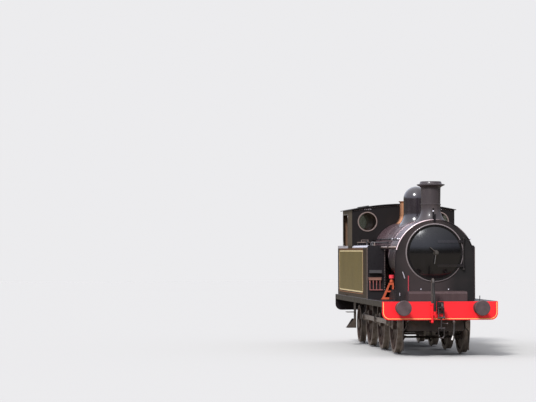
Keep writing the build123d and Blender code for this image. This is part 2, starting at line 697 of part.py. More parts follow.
# Ashpan under the firebox, clear of the axles
ASHPAN_HALF = FIREBOX_HALF - 60
with BuildPart() as ashpan:
    with BuildSketch(Plane.YZ.offset(-ASHPAN_HALF)):
        with BuildLine():
            Polyline(
                (back(BARREL_END + 40), FIREBOX_BOTTOM),
                (back(BARREL_END + 40), RAIL + 560),
                (back(BARREL_END + 700), RAIL + 340),
                (back(GRATE_END - 190), RAIL + 440),
                (back(GRATE_END - 10), FIREBOX_BOTTOM),
                close=True,
            )
        make_face()
    extrude(amount=2 * ASHPAN_HALF)
save(ashpan.part, "ashpan")


def turned(profile, y, cut_radius):
    """A mounting turned about a vertical axis from (radius, height) points, seated on the boiler or smokebox."""
    with BuildPart() as part:
        with BuildSketch(Plane.XZ):
            with BuildLine():
                profile()
            make_face()
        revolve(axis=Axis.Z)
    return (Pos(0, back(y), 0) * part.part) - barrel_cylinder(back(y) - 500, back(y) + 500, cut_radius)


# Chimney: flared base, slightly tapered barrel, brim and lip
def chimney_profile():
    drum_top = BOILER_Z + SMOKEBOX_R
    brim = CHIMNEY_TOP - 110
    Polyline((190, drum_top - 130), (375, drum_top - 130), (345, drum_top - 50))
    ThreePointArc((345, drum_top - 50), (251, drum_top + 90), (222, drum_top + 330))
    Polyline(
        (222, drum_top + 330), (228, drum_top + 335), (228, drum_top + 350), (216, drum_top + 356),
        (222, brim - 30), (262, brim), (314, brim + 22), (314, brim + 42), (250, brim + 56),
        (236, CHIMNEY_TOP - 12), (224, CHIMNEY_TOP), (196, CHIMNEY_TOP), (190, drum_top - 130),
    )


save(turned(chimney_profile, CHIMNEY_Y, SMOKEBOX_R), "chimney")


# Dome: flared skirt, straight side and rounded crown
def dome_profile():
    boiler_top = BOILER_Z + BOILER_R
    Line((0, boiler_top - 150), (430, boiler_top - 150))
    Line((430, boiler_top - 150), (400, boiler_top - 75))
    ThreePointArc((400, boiler_top - 75), (DOME_R + 30, boiler_top + 40), (DOME_R, boiler_top + 190))
    Line((DOME_R, boiler_top + 190), (DOME_R, DOME_TOP - DOME_R))
    CenterArc((0, DOME_TOP - DOME_R), DOME_R, 0, 90)
    Line((0, DOME_TOP), (0, boiler_top - 150))


save(turned(dome_profile, DOME_Y, BOILER_R), "dome")


# Safety valves inside a polished casing
def valve_profile():
    top = BOILER_Z + BOILER_R
    Line((0, top - 60), (270, top - 60))
    Line((270, top - 60), (250, top - 20))
    ThreePointArc((250, top - 20), (192, top + 60), (172, top + 170))
    Line((172, top + 170), (165, VALVE_TOP - 70))
    ThreePointArc((165, VALVE_TOP - 70), (172, VALVE_TOP - 30), (196, VALVE_TOP - 8))
    Polyline((196, VALVE_TOP - 8), (196, VALVE_TOP), (150, VALVE_TOP), (150, VALVE_TOP - 60), (0, VALVE_TOP - 60), (0, top - 60))


# Two valve columns and the spring lever, standing in the casing's mouth
with BuildPart() as valves:
    add(turned(valve_profile, VALVE_Y, BOILER_R))
    y = back(VALVE_Y)
    for dy in (-75, 75):
        rod((0, y + dy, VALVE_TOP - 60), (0, y + dy, VALVE_TOP + 50), 38)
    rod((0, y, VALVE_TOP - 60), (0, y, VALVE_TOP + 70), 16)
    slab(-12, 12, y - 120, y + 300, VALVE_TOP + 50, VALVE_TOP + 78)
save(valves.part, "safety_valves")


# Side tanks, with the outer top edge rolled and a well under each filler
def side_tank():
    """The left-hand tank."""
    with BuildPart() as part:
        slab(TANK_INNER, TANK_HALF, back(TANK_FRONT), back(CAB_FRONT), FOOTPLATE_TOP, TANK_TOP)
        outer_top = part.edges().filter_by(Axis.Y).sort_by(Axis.Z)[-2:].sort_by(Axis.X)[-1]
        fillet(outer_top, TANK_ROUND)
        for _, axle in COUPLED:
            add(splasher(axle, 2, inside=False), mode=Mode.SUBTRACT)
        well = (FILLER_X, back(FILLER_Y))
        rod((*well, TANK_TOP - 250), (*well, TANK_TOP + 1), FILLER_R - 20, Mode.SUBTRACT)
    return part.part


save(both_sides(side_tank()), "side_tanks")

# Tank fillers: a raised neck with hinge lugs, and a hinged lid on each
NECK_TOP = TANK_TOP + 70
LID_HINGE_Y = back(FILLER_Y) + FILLER_R + 34
LID_HINGE_Z = NECK_TOP + 14


def filler_neck():
    """The left-hand neck."""
    with BuildPart() as part:
        rod((FILLER_X, back(FILLER_Y), TANK_TOP), (FILLER_X, back(FILLER_Y), NECK_TOP), FILLER_R)
        rod((FILLER_X, back(FILLER_Y), TANK_TOP), (FILLER_X, back(FILLER_Y), NECK_TOP), FILLER_R - 20, Mode.SUBTRACT)
        for x in (FILLER_X - 52, FILLER_X + 32):
            slab(x, x + 20, back(FILLER_Y) + FILLER_R - 6, LID_HINGE_Y, TANK_TOP, NECK_TOP - 6)
            slab(x, x + 20, LID_HINGE_Y - 16, LID_HINGE_Y + 16, TANK_TOP, LID_HINGE_Z)
            rod((x, LID_HINGE_Y, LID_HINGE_Z), (x + 20, LID_HINGE_Y, LID_HINGE_Z), 18)
        rod((FILLER_X - 52, LID_HINGE_Y, LID_HINGE_Z), (FILLER_X + 52, LID_HINGE_Y, LID_HINGE_Z), 9)
    return part.part


def filler_lid():
    """The left-hand lid, with its hinge tongue and lifting handle."""
    y = back(FILLER_Y)
    with BuildPart() as part:
        rod((FILLER_X, y, NECK_TOP + 1), (FILLER_X, y, NECK_TOP + 17), FILLER_R + 10)
        slab(FILLER_X - 28, FILLER_X + 28, y, LID_HINGE_Y, NECK_TOP + 3, NECK_TOP + 25)
        rod((FILLER_X - 28, LID_HINGE_Y, LID_HINGE_Z), (FILLER_X + 28, LID_HINGE_Y, LID_HINGE_Z), 16)
        rod((FILLER_X - 29, LID_HINGE_Y, LID_HINGE_Z), (FILLER_X + 29, LID_HINGE_Y, LID_HINGE_Z), 9 + RUNNING_GAP, Mode.SUBTRACT)
        for x in (FILLER_X - 80, FILLER_X + 80):
            rod((x, y - 90, NECK_TOP + 10), (x, y - 90, NECK_TOP + 66), 8)
        rod((FILLER_X - 88, y - 90, NECK_TOP + 62), (FILLER_X + 88, y - 90, NECK_TOP + 62), 9)
    return part.part


save(both_sides(filler_neck()), "filler_necks")
save(filler_lid(), "filler_lid_left")
save(mirror(filler_lid(), about=Plane.YZ), "filler_lid_right")

# Cab front: arched top, two round windows and a gap for the firebox
ROOF_R = (TANK_HALF**2 + ROOF_RISE**2) / (2 * ROOF_RISE)
GLASS_THICK = 8
RING_THICK = 14


def cab_end(station, thickness, bottom, ring_face):
    """An end plate of the cab that follows the roof's arch, with two round windows and their outer rings."""
    with BuildPart() as part:
        with BuildSketch(Plane.XZ.offset(-back(station))):
            with BuildLine():
                ThreePointArc((-TANK_HALF, EAVES), (0, EAVES + ROOF_RISE), (TANK_HALF, EAVES))
                Polyline((TANK_HALF, EAVES), (TANK_HALF, bottom), (-TANK_HALF, bottom), (-TANK_HALF, EAVES))
            make_face()
            with Locations((-SPECTACLE_X, SPECTACLE_Z), (SPECTACLE_X, SPECTACLE_Z)):
                Circle(SPECTACLE_R, mode=Mode.SUBTRACT)
        extrude(amount=-thickness)
        with BuildSketch(Plane.XZ.offset(-back(ring_face))):
            with Locations((-SPECTACLE_X, SPECTACLE_Z), (SPECTACLE_X, SPECTACLE_Z)):
                Circle(RING_R)
                Circle(SPECTACLE_R, mode=Mode.SUBTRACT)
        extrude(amount=-RING_THICK)
    return part.part


with BuildPart() as cab_front:
    add(cab_end(CAB_FRONT, PLATE, FOOTPLATE_TOP, CAB_FRONT - RING_THICK))
    add(firebox.part, mode=Mode.SUBTRACT)
    slab(
        -BOILER_R, BOILER_R, back(CAB_FRONT) - 10, back(CAB_FRONT) + 30,
        FOOTPLATE_TOP - 1, FIREBOX_WAIST + 1, Mode.SUBTRACT,
    )
    rear_cover = splasher(AXLE_REAR, 2, inside=False)
    add(rear_cover, mode=Mode.SUBTRACT)
    add(mirror(rear_cover, about=Plane.YZ), mode=Mode.SUBTRACT)
with BuildPart() as cab_back:
    add(cab_end(CAB_BACK - PLATE, PLATE, FOOTPLATE_TOP, CAB_BACK))
    slab(-300, 300, back(CAB_BACK) - 60, back(CAB_BACK) + 10, FOOTPLATE_TOP + 520, FOOTPLATE_TOP + 900, Mode.SUBTRACT)
save(Compound(children=[cab_front.part, cab_back.part]), "cab_ends")


# Cab doors: low plates flush with the sides, hinged at their rear edges to swing inwards
CAB_DOOR_GAP = 6
CAB_HINGE_X = TANK_HALF - PLATE - 16
CAB_HINGE_Y = back(DOOR_BACK) - CAB_DOOR_GAP
CAB_HINGE_Z = (FOOTPLATE_TOP + 250, WAIST - 250)


def cab_side():
    """The left-hand sheet: a doorway below the waist, a long opening above it, and the door's hinge pins."""
    with BuildPart() as part:
        slab(TANK_HALF - PLATE, TANK_HALF, back(CAB_FRONT) + PLATE, back(CAB_BACK) - PLATE, FOOTPLATE_TOP, EAVES)
        with BuildSketch(Plane.YZ.offset(TANK_HALF - PLATE - 1)):
            with Locations((back((DOOR_FRONT + CAB_OPENING_BACK) / 2), (WAIST + OPENING_TOP) / 2)):
                RectangleRounded(CAB_OPENING_BACK - DOOR_FRONT, OPENING_TOP - WAIST, 100)
            with Locations((back((DOOR_FRONT + DOOR_BACK) / 2), (FOOTPLATE_TOP + WAIST + 200) / 2)):
                Rectangle(DOOR_BACK - DOOR_FRONT, WAIST + 200 - FOOTPLATE_TOP)
        extrude(amount=PLATE + 2, mode=Mode.SUBTRACT)
        for z in CAB_HINGE_Z:
            rod((CAB_HINGE_X, CAB_HINGE_Y, z - 62), (CAB_HINGE_X, CAB_HINGE_Y, z + 62), 7)
            for low in (z - 62, z + 50):
                slab(CAB_HINGE_X - 12, CAB_HINGE_X + 12, CAB_HINGE_Y - 10, CAB_HINGE_Y + 22, low, low + 12)
                slab(CAB_HINGE_X, TANK_HALF - PLATE, CAB_HINGE_Y + 10, CAB_HINGE_Y + 22, low, low + 12)
    return part.part


def cab_door():
    """The left-hand door with its two hinge knuckles."""
    with BuildPart() as part:
        slab(
            TANK_HALF - PLATE, TANK_HALF, back(DOOR_FRONT) + CAB_DOOR_GAP, back(DOOR_BACK) - CAB_DOOR_GAP,
            FOOTPLATE_TOP + 30, WAIST - CAB_DOOR_GAP,
        )
        for z in CAB_HINGE_Z:
            slab(CAB_HINGE_X, TANK_HALF - PLATE, CAB_HINGE_Y - 26, CAB_HINGE_Y, z - 45, z + 45)
            rod((CAB_HINGE_X, CAB_HINGE_Y, z - 45), (CAB_HINGE_X, CAB_HINGE_Y, z + 45), 12)
            rod((CAB_HINGE_X, CAB_HINGE_Y, z - 46), (CAB_HINGE_X, CAB_HINGE_Y, z + 46), 7 + RUNNING_GAP, Mode.SUBTRACT)
    return part.part


save(both_sides(cab_side()), "cab_sides")
save(cab_door(), "cab_door_left")
save(mirror(cab_door(), about=Plane.YZ), "cab_door_right")

# Cab roof
with BuildPart() as roof:
    with BuildSketch(Plane.XZ.offset(-back(CAB_FRONT - ROOF_OVERHANG))):
        with BuildLine():
            half = TANK_HALF + 40
            drop = ROOF_R - sqrt(ROOF_R**2 - half**2)
            crown = EAVES + ROOF_RISE
            ThreePointArc((-half, crown - drop), (0, crown), (half, crown - drop))
            Line((half, crown - drop), (half, crown - drop + 14))
            ThreePointArc((half, crown - drop + 14), (0, crown + 14), (-half, crown - drop + 14))
            Line((-half, crown - drop + 14), (-half, crown - drop))
        make_face()
    extrude(amount=-(ROOF_BACK - CAB_FRONT + ROOF_OVERHANG))
save(roof.part, "cab_roof")

# Window glass
panes = []
for station in (CAB_FRONT, CAB_BACK - PLATE):
    for x in (-SPECTACLE_X, SPECTACLE_X):
        with BuildPart() as pane:
            rod((x, back(station) + 2, SPECTACLE_Z), (x, back(station) + 2 + GLASS_THICK, SPECTACLE_Z), SPECTACLE_R)
        panes.append(pane.part)
save(Compound(children=panes), "cab_glass")

# Cab floor of planks over the footplate
with BuildPart() as floor:
    slab(-TANK_HALF + 30, TANK_HALF - 30, back(AXLE_REAR) + SPLASH_HALF + 10, back(CAB_BACK) - PLATE, FOOTPLATE_TOP, FOOTPLATE_TOP + 22)
save(floor.part, "cab_floor")

# Bunker: open-topped box behind the cab with a sloping floor
with BuildPart() as bunker:
    top = WAIST
    slab(-TANK_HALF, TANK_HALF, back(CAB_BACK), back(BUNKER_BACK), FOOTPLATE_TOP, top)
    slab(-TANK_HALF + PLATE, TANK_HALF - PLATE, back(CAB_BACK) + PLATE, back(BUNKER_BACK) - PLATE, FOOTPLATE_TOP + 500, top + 1, Mode.SUBTRACT)
save(bunker.part, "bunker")

# Drawgear: a plate, hook and hanging screw coupling at the middle of each beam
LINK_Y = FRONT - 165
LINK_HALF = 62
LINK_TOP, LINK_END = BUFFER_Z - 450, BUFFER_Z - 600
with BuildPart() as hook:
    slab(-74, 74, FRONT - 20, FRONT, BUFFER_Z - 130, BUFFER_Z + 130)
    with BuildSketch(Plane.YZ.offset(-22)):
        with Locations((FRONT - 85, BUFFER_Z)):
            Rectangle(140, 60)
        with Locations((FRONT - 205, BUFFER_Z + 22)):
            Circle(88)
        with Locations((FRONT - 205, BUFFER_Z + 30)):
            Circle(38, mode=Mode.SUBTRACT)
        with Locations((FRONT - 195, BUFFER_Z + 90)):
            Rectangle(60, 110, mode=Mode.SUBTRACT)
    extrude(amount=44)
    rod((-70, FRONT - 120, BUFFER_Z - 5), (70, FRONT - 120, BUFFER_Z - 5), 18)
    for x in (-58, 58):
        rod((x, FRONT - 120, BUFFER_Z - 5), (x, FRONT - 150, BUFFER_Z - 215), 15)
    for z in (BUFFER_Z - 215, LINK_TOP):
        rod((-80, FRONT - 158, z), (80, FRONT - 158, z), 24)
    rod((0, FRONT - 150, BUFFER_Z - 190), (0, LINK_Y, BUFFER_Z - 480), 18)
    rod((0, FRONT - 158, BUFFER_Z - 330), (130, FRONT - 158, BUFFER_Z - 350), 9)
    with Locations((130, FRONT - 158, BUFFER_Z - 350)):
        Sphere(30)
    with BuildLine(Plane.XZ.offset(-LINK_Y)) as link:
        Line((LINK_HALF, LINK_TOP), (LINK_HALF, LINK_END))
        ThreePointArc((LINK_HALF, LINK_END), (0, LINK_END - LINK_HALF), (-LINK_HALF, LINK_END))
        Line((-LINK_HALF, LINK_END), (-LINK_HALF, LINK_TOP))
    with BuildSketch(Plane(origin=(LINK_HALF, LINK_Y, LINK_TOP), z_dir=(0, 0, -1))):
        Circle(16)
    sweep(path=link.wire())
save(Compound(children=[hook.part, mirror(hook.part, about=Plane.XZ)]), "drawgear")

# Guard irons: flat bars on the frames, set out over the rails
IRON_THICK = 16
IRON_OUT = 76
with BuildPart() as guard_iron:
    with BuildSketch(Plane.XZ.offset(-back(600))):
        with BuildLine():
            x = FRAME_INNER + FRAME_THICK
            Polyline(
                (x, RAIL + 900), (x + IRON_THICK, RAIL + 900), (x + IRON_THICK, RAIL + 600),
                (x + IRON_THICK + IRON_OUT, RAIL + 520), (x + IRON_THICK + IRON_OUT, RAIL + 90),
                (x + IRON_OUT, RAIL + 90), (x + IRON_OUT, RAIL + 512), (x, RAIL + 592), close=True,
            )
        make_face()
    extrude(amount=-95)
save(both_sides(guard_iron.part), "guard_irons")

# Brake hangers with cast blocks behind the coupled wheels, and a beam across each pair
BLOCK_GAP = 16
BLOCK_DEPTH = 54
BLOCK_HALF = 95
HANGER_X = 740
HANGER_THICK = 30
BRAKE_PIN_Z = RAIL + 1080
BRAKE_BEAM_Z = RAIL + 330
HANGER_Y = COUPLED_R + BLOCK_GAP + BLOCK_DEPTH - 20
hangers = []
with BuildPart() as brake_beams:
    for _, axle in COUPLED:
        rod(
            (-HANGER_X, back(axle) + HANGER_Y + 20, BRAKE_BEAM_Z), (HANGER_X, back(axle) + HANGER_Y + 20, BRAKE_BEAM_Z), 26
        )
save(brake_beams.part, "brake_beams")
for _, axle in COUPLED:
    with BuildPart() as hanger:
        with BuildSketch(Plane.YZ.offset(HANGER_X)):
            with Locations((back(axle), RAIL + COUPLED_R)):
                Circle(COUPLED_R + BLOCK_GAP + BLOCK_DEPTH)
                Circle(COUPLED_R + BLOCK_GAP, mode=Mode.SUBTRACT)
            with Locations((back(axle) + COUPLED_R, RAIL + COUPLED_R)):
                Rectangle(200, 2 * BLOCK_HALF, mode=Mode.INTERSECT)
        extrude(amount=66)
        slab(
            HANGER_X, HANGER_X + HANGER_THICK, back(axle) + HANGER_Y, back(axle) + HANGER_Y + 40,
            BRAKE_BEAM_Z - 40, BRAKE_PIN_Z + 30,
        )
        rod(
            (FRAME_INNER + FRAME_THICK, back(axle) + HANGER_Y + 20, BRAKE_PIN_Z),
            (HANGER_X + 1, back(axle) + HANGER_Y + 20, BRAKE_PIN_Z), 20,
        )
    hangers += [hanger.part, mirror(hanger.part, about=Plane.YZ)]
save(Compound(children=hangers), "brake_hangers")

# Footsteps under the cab doorways: two treads on a hanging plate, with side brackets
STEP_OUT = FOOTPLATE_HALF - 8
STEP_IN = STEP_OUT - 215
STEP_LENGTH = 420
with BuildPart() as step:
    y0 = back((DOOR_FRONT + DOOR_BACK) / 2) - STEP_LENGTH / 2
    y1 = y0 + STEP_LENGTH
    slab(STEP_IN, STEP_IN + PLATE, y0, y1, RAIL + 400, FOOTPLATE_TOP - PLATE)
    for z in (RAIL + 400, RAIL + 780):
        slab(STEP_IN, STEP_OUT, y0, y1, z, z + 14)
    for y in (y0, y1 - PLATE):
        with BuildSketch(Plane.XZ.offset(-y)):
            with BuildLine():
                Polyline(
                    (STEP_IN, RAIL + 414), (STEP_OUT - 20, RAIL + 414), (STEP_IN + 60, RAIL + 620),
                    (STEP_IN, RAIL + 620), close=True,
                )
            make_face()
        extrude(amount=-PLATE)
save(both_sides(step.part), "footsteps")

# Handrails along the smokebox and boiler on turned pillars, and the ejector pipe on the right-hand side
RAIL_Z = BOILER_Z + 310
RAIL_X = BOILER_R + 9
PILLARS = (SMOKEBOX_FRONT + 90, SMOKEBOX_BACK - 120, TANK_FRONT - 160, (TANK_FRONT + CAB_FRONT) / 2)
with BuildPart() as handrail:
    rod((RAIL_X, back(SMOKEBOX_FRONT + 50), RAIL_Z), (RAIL_X, back(CAB_FRONT), RAIL_Z), 15)
    for distance in PILLARS:
        surface = SMOKEBOX_R if distance < SMOKEBOX_BACK else BOILER_R
        foot = sqrt(surface**2 - (RAIL_Z - BOILER_Z) ** 2) - 2
        rod((foot, back(distance), RAIL_Z), (RAIL_X, back(distance), RAIL_Z), 14)
        with Locations((RAIL_X, back(distance), RAIL_Z)):
            Sphere(24)
    add(barrel_cylinder(back(SMOKEBOX_FRONT), back(SMOKEBOX_BACK), SMOKEBOX_R), mode=Mode.SUBTRACT)
    add(barrel_cylinder(back(SMOKEBOX_BACK), back(CAB_FRONT), BOILER_R), mode=Mode.SUBTRACT)
PIPE_Z = BOILER_Z + 125
PIPE_X = -SMOKEBOX_R - 34
PIPE_R = 22
with BuildPart() as pipe:
    rod((PIPE_X, back(SMOKEBOX_FRONT + 170), PIPE_Z), (PIPE_X, back(CAB_FRONT), PIPE_Z), PIPE_R)
    rod((PIPE_X, back(SMOKEBOX_FRONT + 170), PIPE_Z), (-SMOKEBOX_R + 40, back(SMOKEBOX_FRONT + 170), PIPE_Z), PIPE_R)
    with Locations((PIPE_X, back(SMOKEBOX_FRONT + 170), PIPE_Z)):
        Sphere(40)
    add(barrel_cylinder(back(SMOKEBOX_FRONT), back(SMOKEBOX_BACK), SMOKEBOX_R), mode=Mode.SUBTRACT)
save(Compound(children=[handrail.part, mirror(handrail.part, about=Plane.YZ), pipe.part]), "handrails")

# Screw jack standing on the footplate: a frame with one upright and one raking leg, and a screw with its cap
JACK = (538 - FOOTPLATE_HALF, back(TANK_FRONT - 340))
JACK_TOP = FOOTPLATE_TOP + 561
JACK_FRAME = 385
with BuildPart() as jack:
    with BuildSketch(Plane.XZ.offset(-JACK[1] - 45)):
        with Locations((JACK[0], FOOTPLATE_TOP)):
            Polygon((-230, 0), (45, 0), (42, JACK_FRAME), (-55, JACK_FRAME), align=None)
            Polygon((-165, 45), (8, 45), (8, 165), (-115, 165), align=None, mode=Mode.SUBTRACT)
            Polygon((-98, 200), (8, 200), (8, 330), (-48, 330), align=None, mode=Mode.SUBTRACT)
    extrude(amount=90)
    slab(JACK[0] - 236, JACK[0] + 52, JACK[1] - 70, JACK[1] + 70, FOOTPLATE_TOP, FOOTPLATE_TOP + 22)
    rod((*JACK, FOOTPLATE_TOP + JACK_FRAME - 10), (*JACK, JACK_TOP - 60), 30)
    rod((*JACK, FOOTPLATE_TOP + JACK_FRAME + 12), (*JACK, FOOTPLATE_TOP + JACK_FRAME + 52), 46)
    rod((*JACK, JACK_TOP - 80), (*JACK, JACK_TOP), 60)
save(jack.part, "screw_jack")

# Oil box on the right-hand tank's front: a shallow box whose four drip pipes drop to one gathering pipe
BOX_X = (32 - TANK_HALF, 322 - TANK_HALF)
BOX_Z = (FOOTPLATE_TOP + 437, FOOTPLATE_TOP + 492)
BOX_DEPTH = 70
DRIP_R = 9
GATHER_Z = FOOTPLATE_TOP + 210
with BuildPart() as oil_box:
    slab(*BOX_X, back(TANK_FRONT) - BOX_DEPTH, back(TANK_FRONT), *BOX_Z)
    slab(BOX_X[0] - 6, BOX_X[1] + 6, back(TANK_FRONT) - BOX_DEPTH - 6, back(TANK_FRONT), BOX_Z[1], BOX_Z[1] + 10)
    drip_y = back(TANK_FRONT) - BOX_DEPTH / 2
    for share in (0.1, 0.37, 0.64, 0.91):
        x = BOX_X[0] + share * (BOX_X[1] - BOX_X[0])
        rod((x, drip_y, GATHER_Z), (x, drip_y, BOX_Z[0] + 5), DRIP_R)
        rod((x, drip_y, BOX_Z[0] - 55), (x, drip_y, BOX_Z[0]), DRIP_R + 6)
        with Locations((x, drip_y, GATHER_Z)):
            Sphere(DRIP_R)
    rod((BOX_X[0] + 29, drip_y, GATHER_Z), (BOX_X[1] + 40, drip_y, GATHER_Z), DRIP_R)
    rod((BOX_X[1] + 40, drip_y, GATHER_Z), (BOX_X[1] + 40, back(TANK_FRONT), GATHER_Z), DRIP_R)
    with Locations((BOX_X[1] + 40, drip_y, GATHER_Z)):
        Sphere(DRIP_R)
save(oil_box.part, "oil_box")

# Pipes of the train at the front: the vacuum standpipe with its swan neck and dummy, the steam pipe's elbow
VACUUM_X = -180
NECK_R = 75
STAND_Y = FRONT - 40
STAND_R = 28
PIPE_UNDER = BEAM_BOTTOM - 42
STEAM_X = 300
STEAM_R = 22
STEAM_Z = BEAM_BOTTOM - 50
VACUUM_ROUTE = (
    (VACUUM_X, STAND_Y - 2 * NECK_R, RAIL + 1600),
    (VACUUM_X, STAND_Y - 2 * NECK_R, RAIL + 1490),
    (VACUUM_X + 8, STAND_Y - 160, RAIL + 1370),
    (VACUUM_X + 22, STAND_Y - 172, RAIL + 1240),
    (VACUUM_X + 34, STAND_Y - 168, RAIL + 1105),
    (VACUUM_X + 38, STAND_Y - 136, RAIL + 980),
)
NECK_END = VACUUM_ROUTE[0]
with BuildPart() as standpipe:
    with BuildLine(Plane.YZ.offset(VACUUM_X)) as route:
        Line((STAND_Y, PIPE_UNDER), (STAND_Y, NECK_END[2]))
        ThreePointArc((STAND_Y, NECK_END[2]), (STAND_Y - NECK_R, NECK_END[2] + NECK_R), NECK_END[1:])
    with BuildSketch(Plane(origin=(VACUUM_X, STAND_Y, PIPE_UNDER), z_dir=(0, 0, 1))):
        Circle(STAND_R)
    sweep(path=route.wire())
    with Locations((VACUUM_X, STAND_Y, PIPE_UNDER)):
        Sphere(STAND_R + 3)
    rod((VACUUM_X, STAND_Y, PIPE_UNDER), (VACUUM_X, FRONT + 190, PIPE_UNDER), STAND_R)
    for z in (RAIL + 860, RAIL + 1120):
        slab(VACUUM_X - 40, VACUUM_X + 40, STAND_Y - STAND_R - 2, FRONT, z, z + 30)
    hose_foot = Vector(*VACUUM_ROUTE[-1])
    foot_turn = (hose_foot - Vector(*VACUUM_ROUTE[-2])).normalized()
    dummy_end = hose_foot + foot_turn * 80
    rod(tuple(hose_foot), tuple(dummy_end), STAND_R + 6)
    rod(tuple(dummy_end - foot_turn * 14), (VACUUM_X, STAND_Y, dummy_end.Z - 20), 13)
with BuildPart() as steam_pipe:
    rod((STEAM_X, FRONT + 160, STEAM_Z), (STEAM_X, FRONT - 50, STEAM_Z), 26)
    with Locations((STEAM_X, FRONT - 50, STEAM_Z)):
        Sphere(30)
    rod((STEAM_X, FRONT - 50, STEAM_Z), (STEAM_X, FRONT - 50, STEAM_Z - 45), STEAM_R)
    slab(STEAM_X - 20, STEAM_X + 20, FRONT + 2, FRONT + 30, STEAM_Z, BEAM_BOTTOM)
save(Compound(children=[standpipe.part, steam_pipe.part]), "train_pipes")

# Hoses. Each route's points steer one smooth curve of the second degree, from its first point to its last.
STEAM_ROUTE = (
    (STEAM_X, FRONT - 50, STEAM_Z - 45),
    (STEAM_X, FRONT - 50, STEAM_Z - 105),
    (STEAM_X - 5, FRONT - 60, STEAM_Z - 172),
    (STEAM_X - 16, FRONT - 76, STEAM_Z - 238),
    (STEAM_X - 32, FRONT - 90, STEAM_Z - 302),
)


def hose(points, radius):
    """A round hose whose curve is made of one Bezier arc for each inner point of the route."""
    inner = points[1:-1]
    middles = [tuple((a + b) / 2 for a, b in zip(p, q)) for p, q in zip(inner, inner[1:])]
    joins = [points[0]] + middles + [points[-1]]
    with BuildPart() as part:
        with BuildLine() as route:
            for start, bend, end in zip(joins, inner, joins[1:]):
                Bezier(start, bend, end)
        with BuildSketch(Plane(origin=points[0], z_dir=route.wire() % 0)):
            Circle(radius)
        sweep(path=route.wire())
    return part.part


save(hose(VACUUM_ROUTE, 30), "vacuum_hose")
save(hose(STEAM_ROUTE, STEAM_R), "steam_hose")
tip, before_tip = Vector(*STEAM_ROUTE[-1]), Vector(*STEAM_ROUTE[-2])
drop = (tip - before_tip).normalized()
with BuildPart() as hose_end:
    rod(tuple(tip), tuple(tip + drop * 55), STEAM_R + 6)
    rod(tuple(tip + drop * 50), tuple(tip + drop * 95), STEAM_R + 16)
save(hose_end.part, "steam_hose_end")

# Lamp irons: two on the footplate at each end, one over the smokebox and one on the bunker
LAMP_X = 894
LAMP_IRON = 125
with BuildPart() as lamp_irons:
    for x in (-LAMP_X, LAMP_X):
        for y in (back(80), -back(80)):
            slab(x - 5, x + 5, y - 22, y + 22, FOOTPLATE_TOP, FOOTPLATE_TOP + LAMP_IRON)
            slab(x - 25, x + 25, y - 22, y + 22, FOOTPLATE_TOP, FOOTPLATE_TOP + 10)
    slab(-25, 25, back(SMOKEBOX_FRONT) - 10, back(SMOKEBOX_FRONT), BOILER_Z + SMOKEBOX_R - 60, BOILER_Z + SMOKEBOX_R + 110)
    slab(-25, 25, back(BUNKER_BACK), back(BUNKER_BACK) + 10, WAIST - 200, WAIST + 90)
save(lamp_irons.part, "lamp_irons")

# Backhead fittings: firehole door, regulator, gauge glasses and pressure gauge
BACKHEAD = back(FIREBOX_END)
with BuildPart() as fittings:
    with BuildSketch(Plane.XZ.offset(-BACKHEAD - 26)):
        with Locations((0, FOOTPLATE_TOP + 560)):
            RectangleRounded(430, 330, 90)
    extrude(amount=26)
    rod((0, BACKHEAD, BOILER_Z + 230), (0, BACKHEAD + 120, BOILER_Z + 230), 34)
    rod((0, BACKHEAD + 105, BOILER_Z + 230), (330, BACKHEAD + 105, BOILER_Z + 60), 13)
    for x in (-190, 190):
        rod((x, BACKHEAD + 60, BOILER_Z - 130), (x, BACKHEAD + 60, BOILER_Z + 110), 15)
        for z in (BOILER_Z - 115, BOILER_Z + 95):
            rod((x, BACKHEAD, z), (x, BACKHEAD + 62, z), 18)
    rod((-300, BACKHEAD, BOILER_Z + 380), (-300, BACKHEAD + 55, BOILER_Z + 380), 85)
save(fittings.part, "backhead_fittings")

print("built")
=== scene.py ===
"""Looks of the side tank steam locomotive: paints, lining, rivets, fittings, hoses, light and camera.

The engine faces -Y and +X is its left-hand side. Everything is in metres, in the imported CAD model's frame.
"""

import math

import bmesh
import bpy
from mathutils import Matrix, Vector


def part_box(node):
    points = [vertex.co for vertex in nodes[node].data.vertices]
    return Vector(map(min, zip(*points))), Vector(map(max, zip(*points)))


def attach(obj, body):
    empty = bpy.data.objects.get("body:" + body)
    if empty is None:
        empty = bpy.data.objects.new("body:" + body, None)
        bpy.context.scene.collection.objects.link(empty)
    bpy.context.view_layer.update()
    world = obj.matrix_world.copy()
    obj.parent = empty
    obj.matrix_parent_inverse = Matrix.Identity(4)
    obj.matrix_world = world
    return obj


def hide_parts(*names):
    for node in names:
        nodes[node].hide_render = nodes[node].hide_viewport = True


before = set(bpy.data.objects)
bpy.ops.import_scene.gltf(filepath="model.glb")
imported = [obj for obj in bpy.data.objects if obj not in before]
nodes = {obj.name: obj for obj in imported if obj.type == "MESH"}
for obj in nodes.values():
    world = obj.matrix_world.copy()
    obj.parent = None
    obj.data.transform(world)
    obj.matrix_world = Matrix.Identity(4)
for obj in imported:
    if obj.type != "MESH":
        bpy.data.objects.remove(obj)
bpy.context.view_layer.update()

# Places, most of them read from the frame
BEAM_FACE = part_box("buffer_beams")[0].y
BEAM_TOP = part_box("buffer_beams")[1].z
BEAM_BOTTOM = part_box("buffer_beams")[0].z
BEAM_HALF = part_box("buffer_beams")[1].x
FOOTPLATE_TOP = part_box("footplate")[1].z
FOOTPLATE_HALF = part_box("footplate")[1].x
RAIL = 0.028
TANK_LOW, TANK_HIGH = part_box("side_tanks")
TANK_HALF = TANK_HIGH.x
TANK_INNER = 0.835
TANK_TOP = TANK_HIGH.z
PLATE_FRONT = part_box("smokebox_front")[0].y
SMOKEBOX_LOW, SMOKEBOX_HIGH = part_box("smokebox")
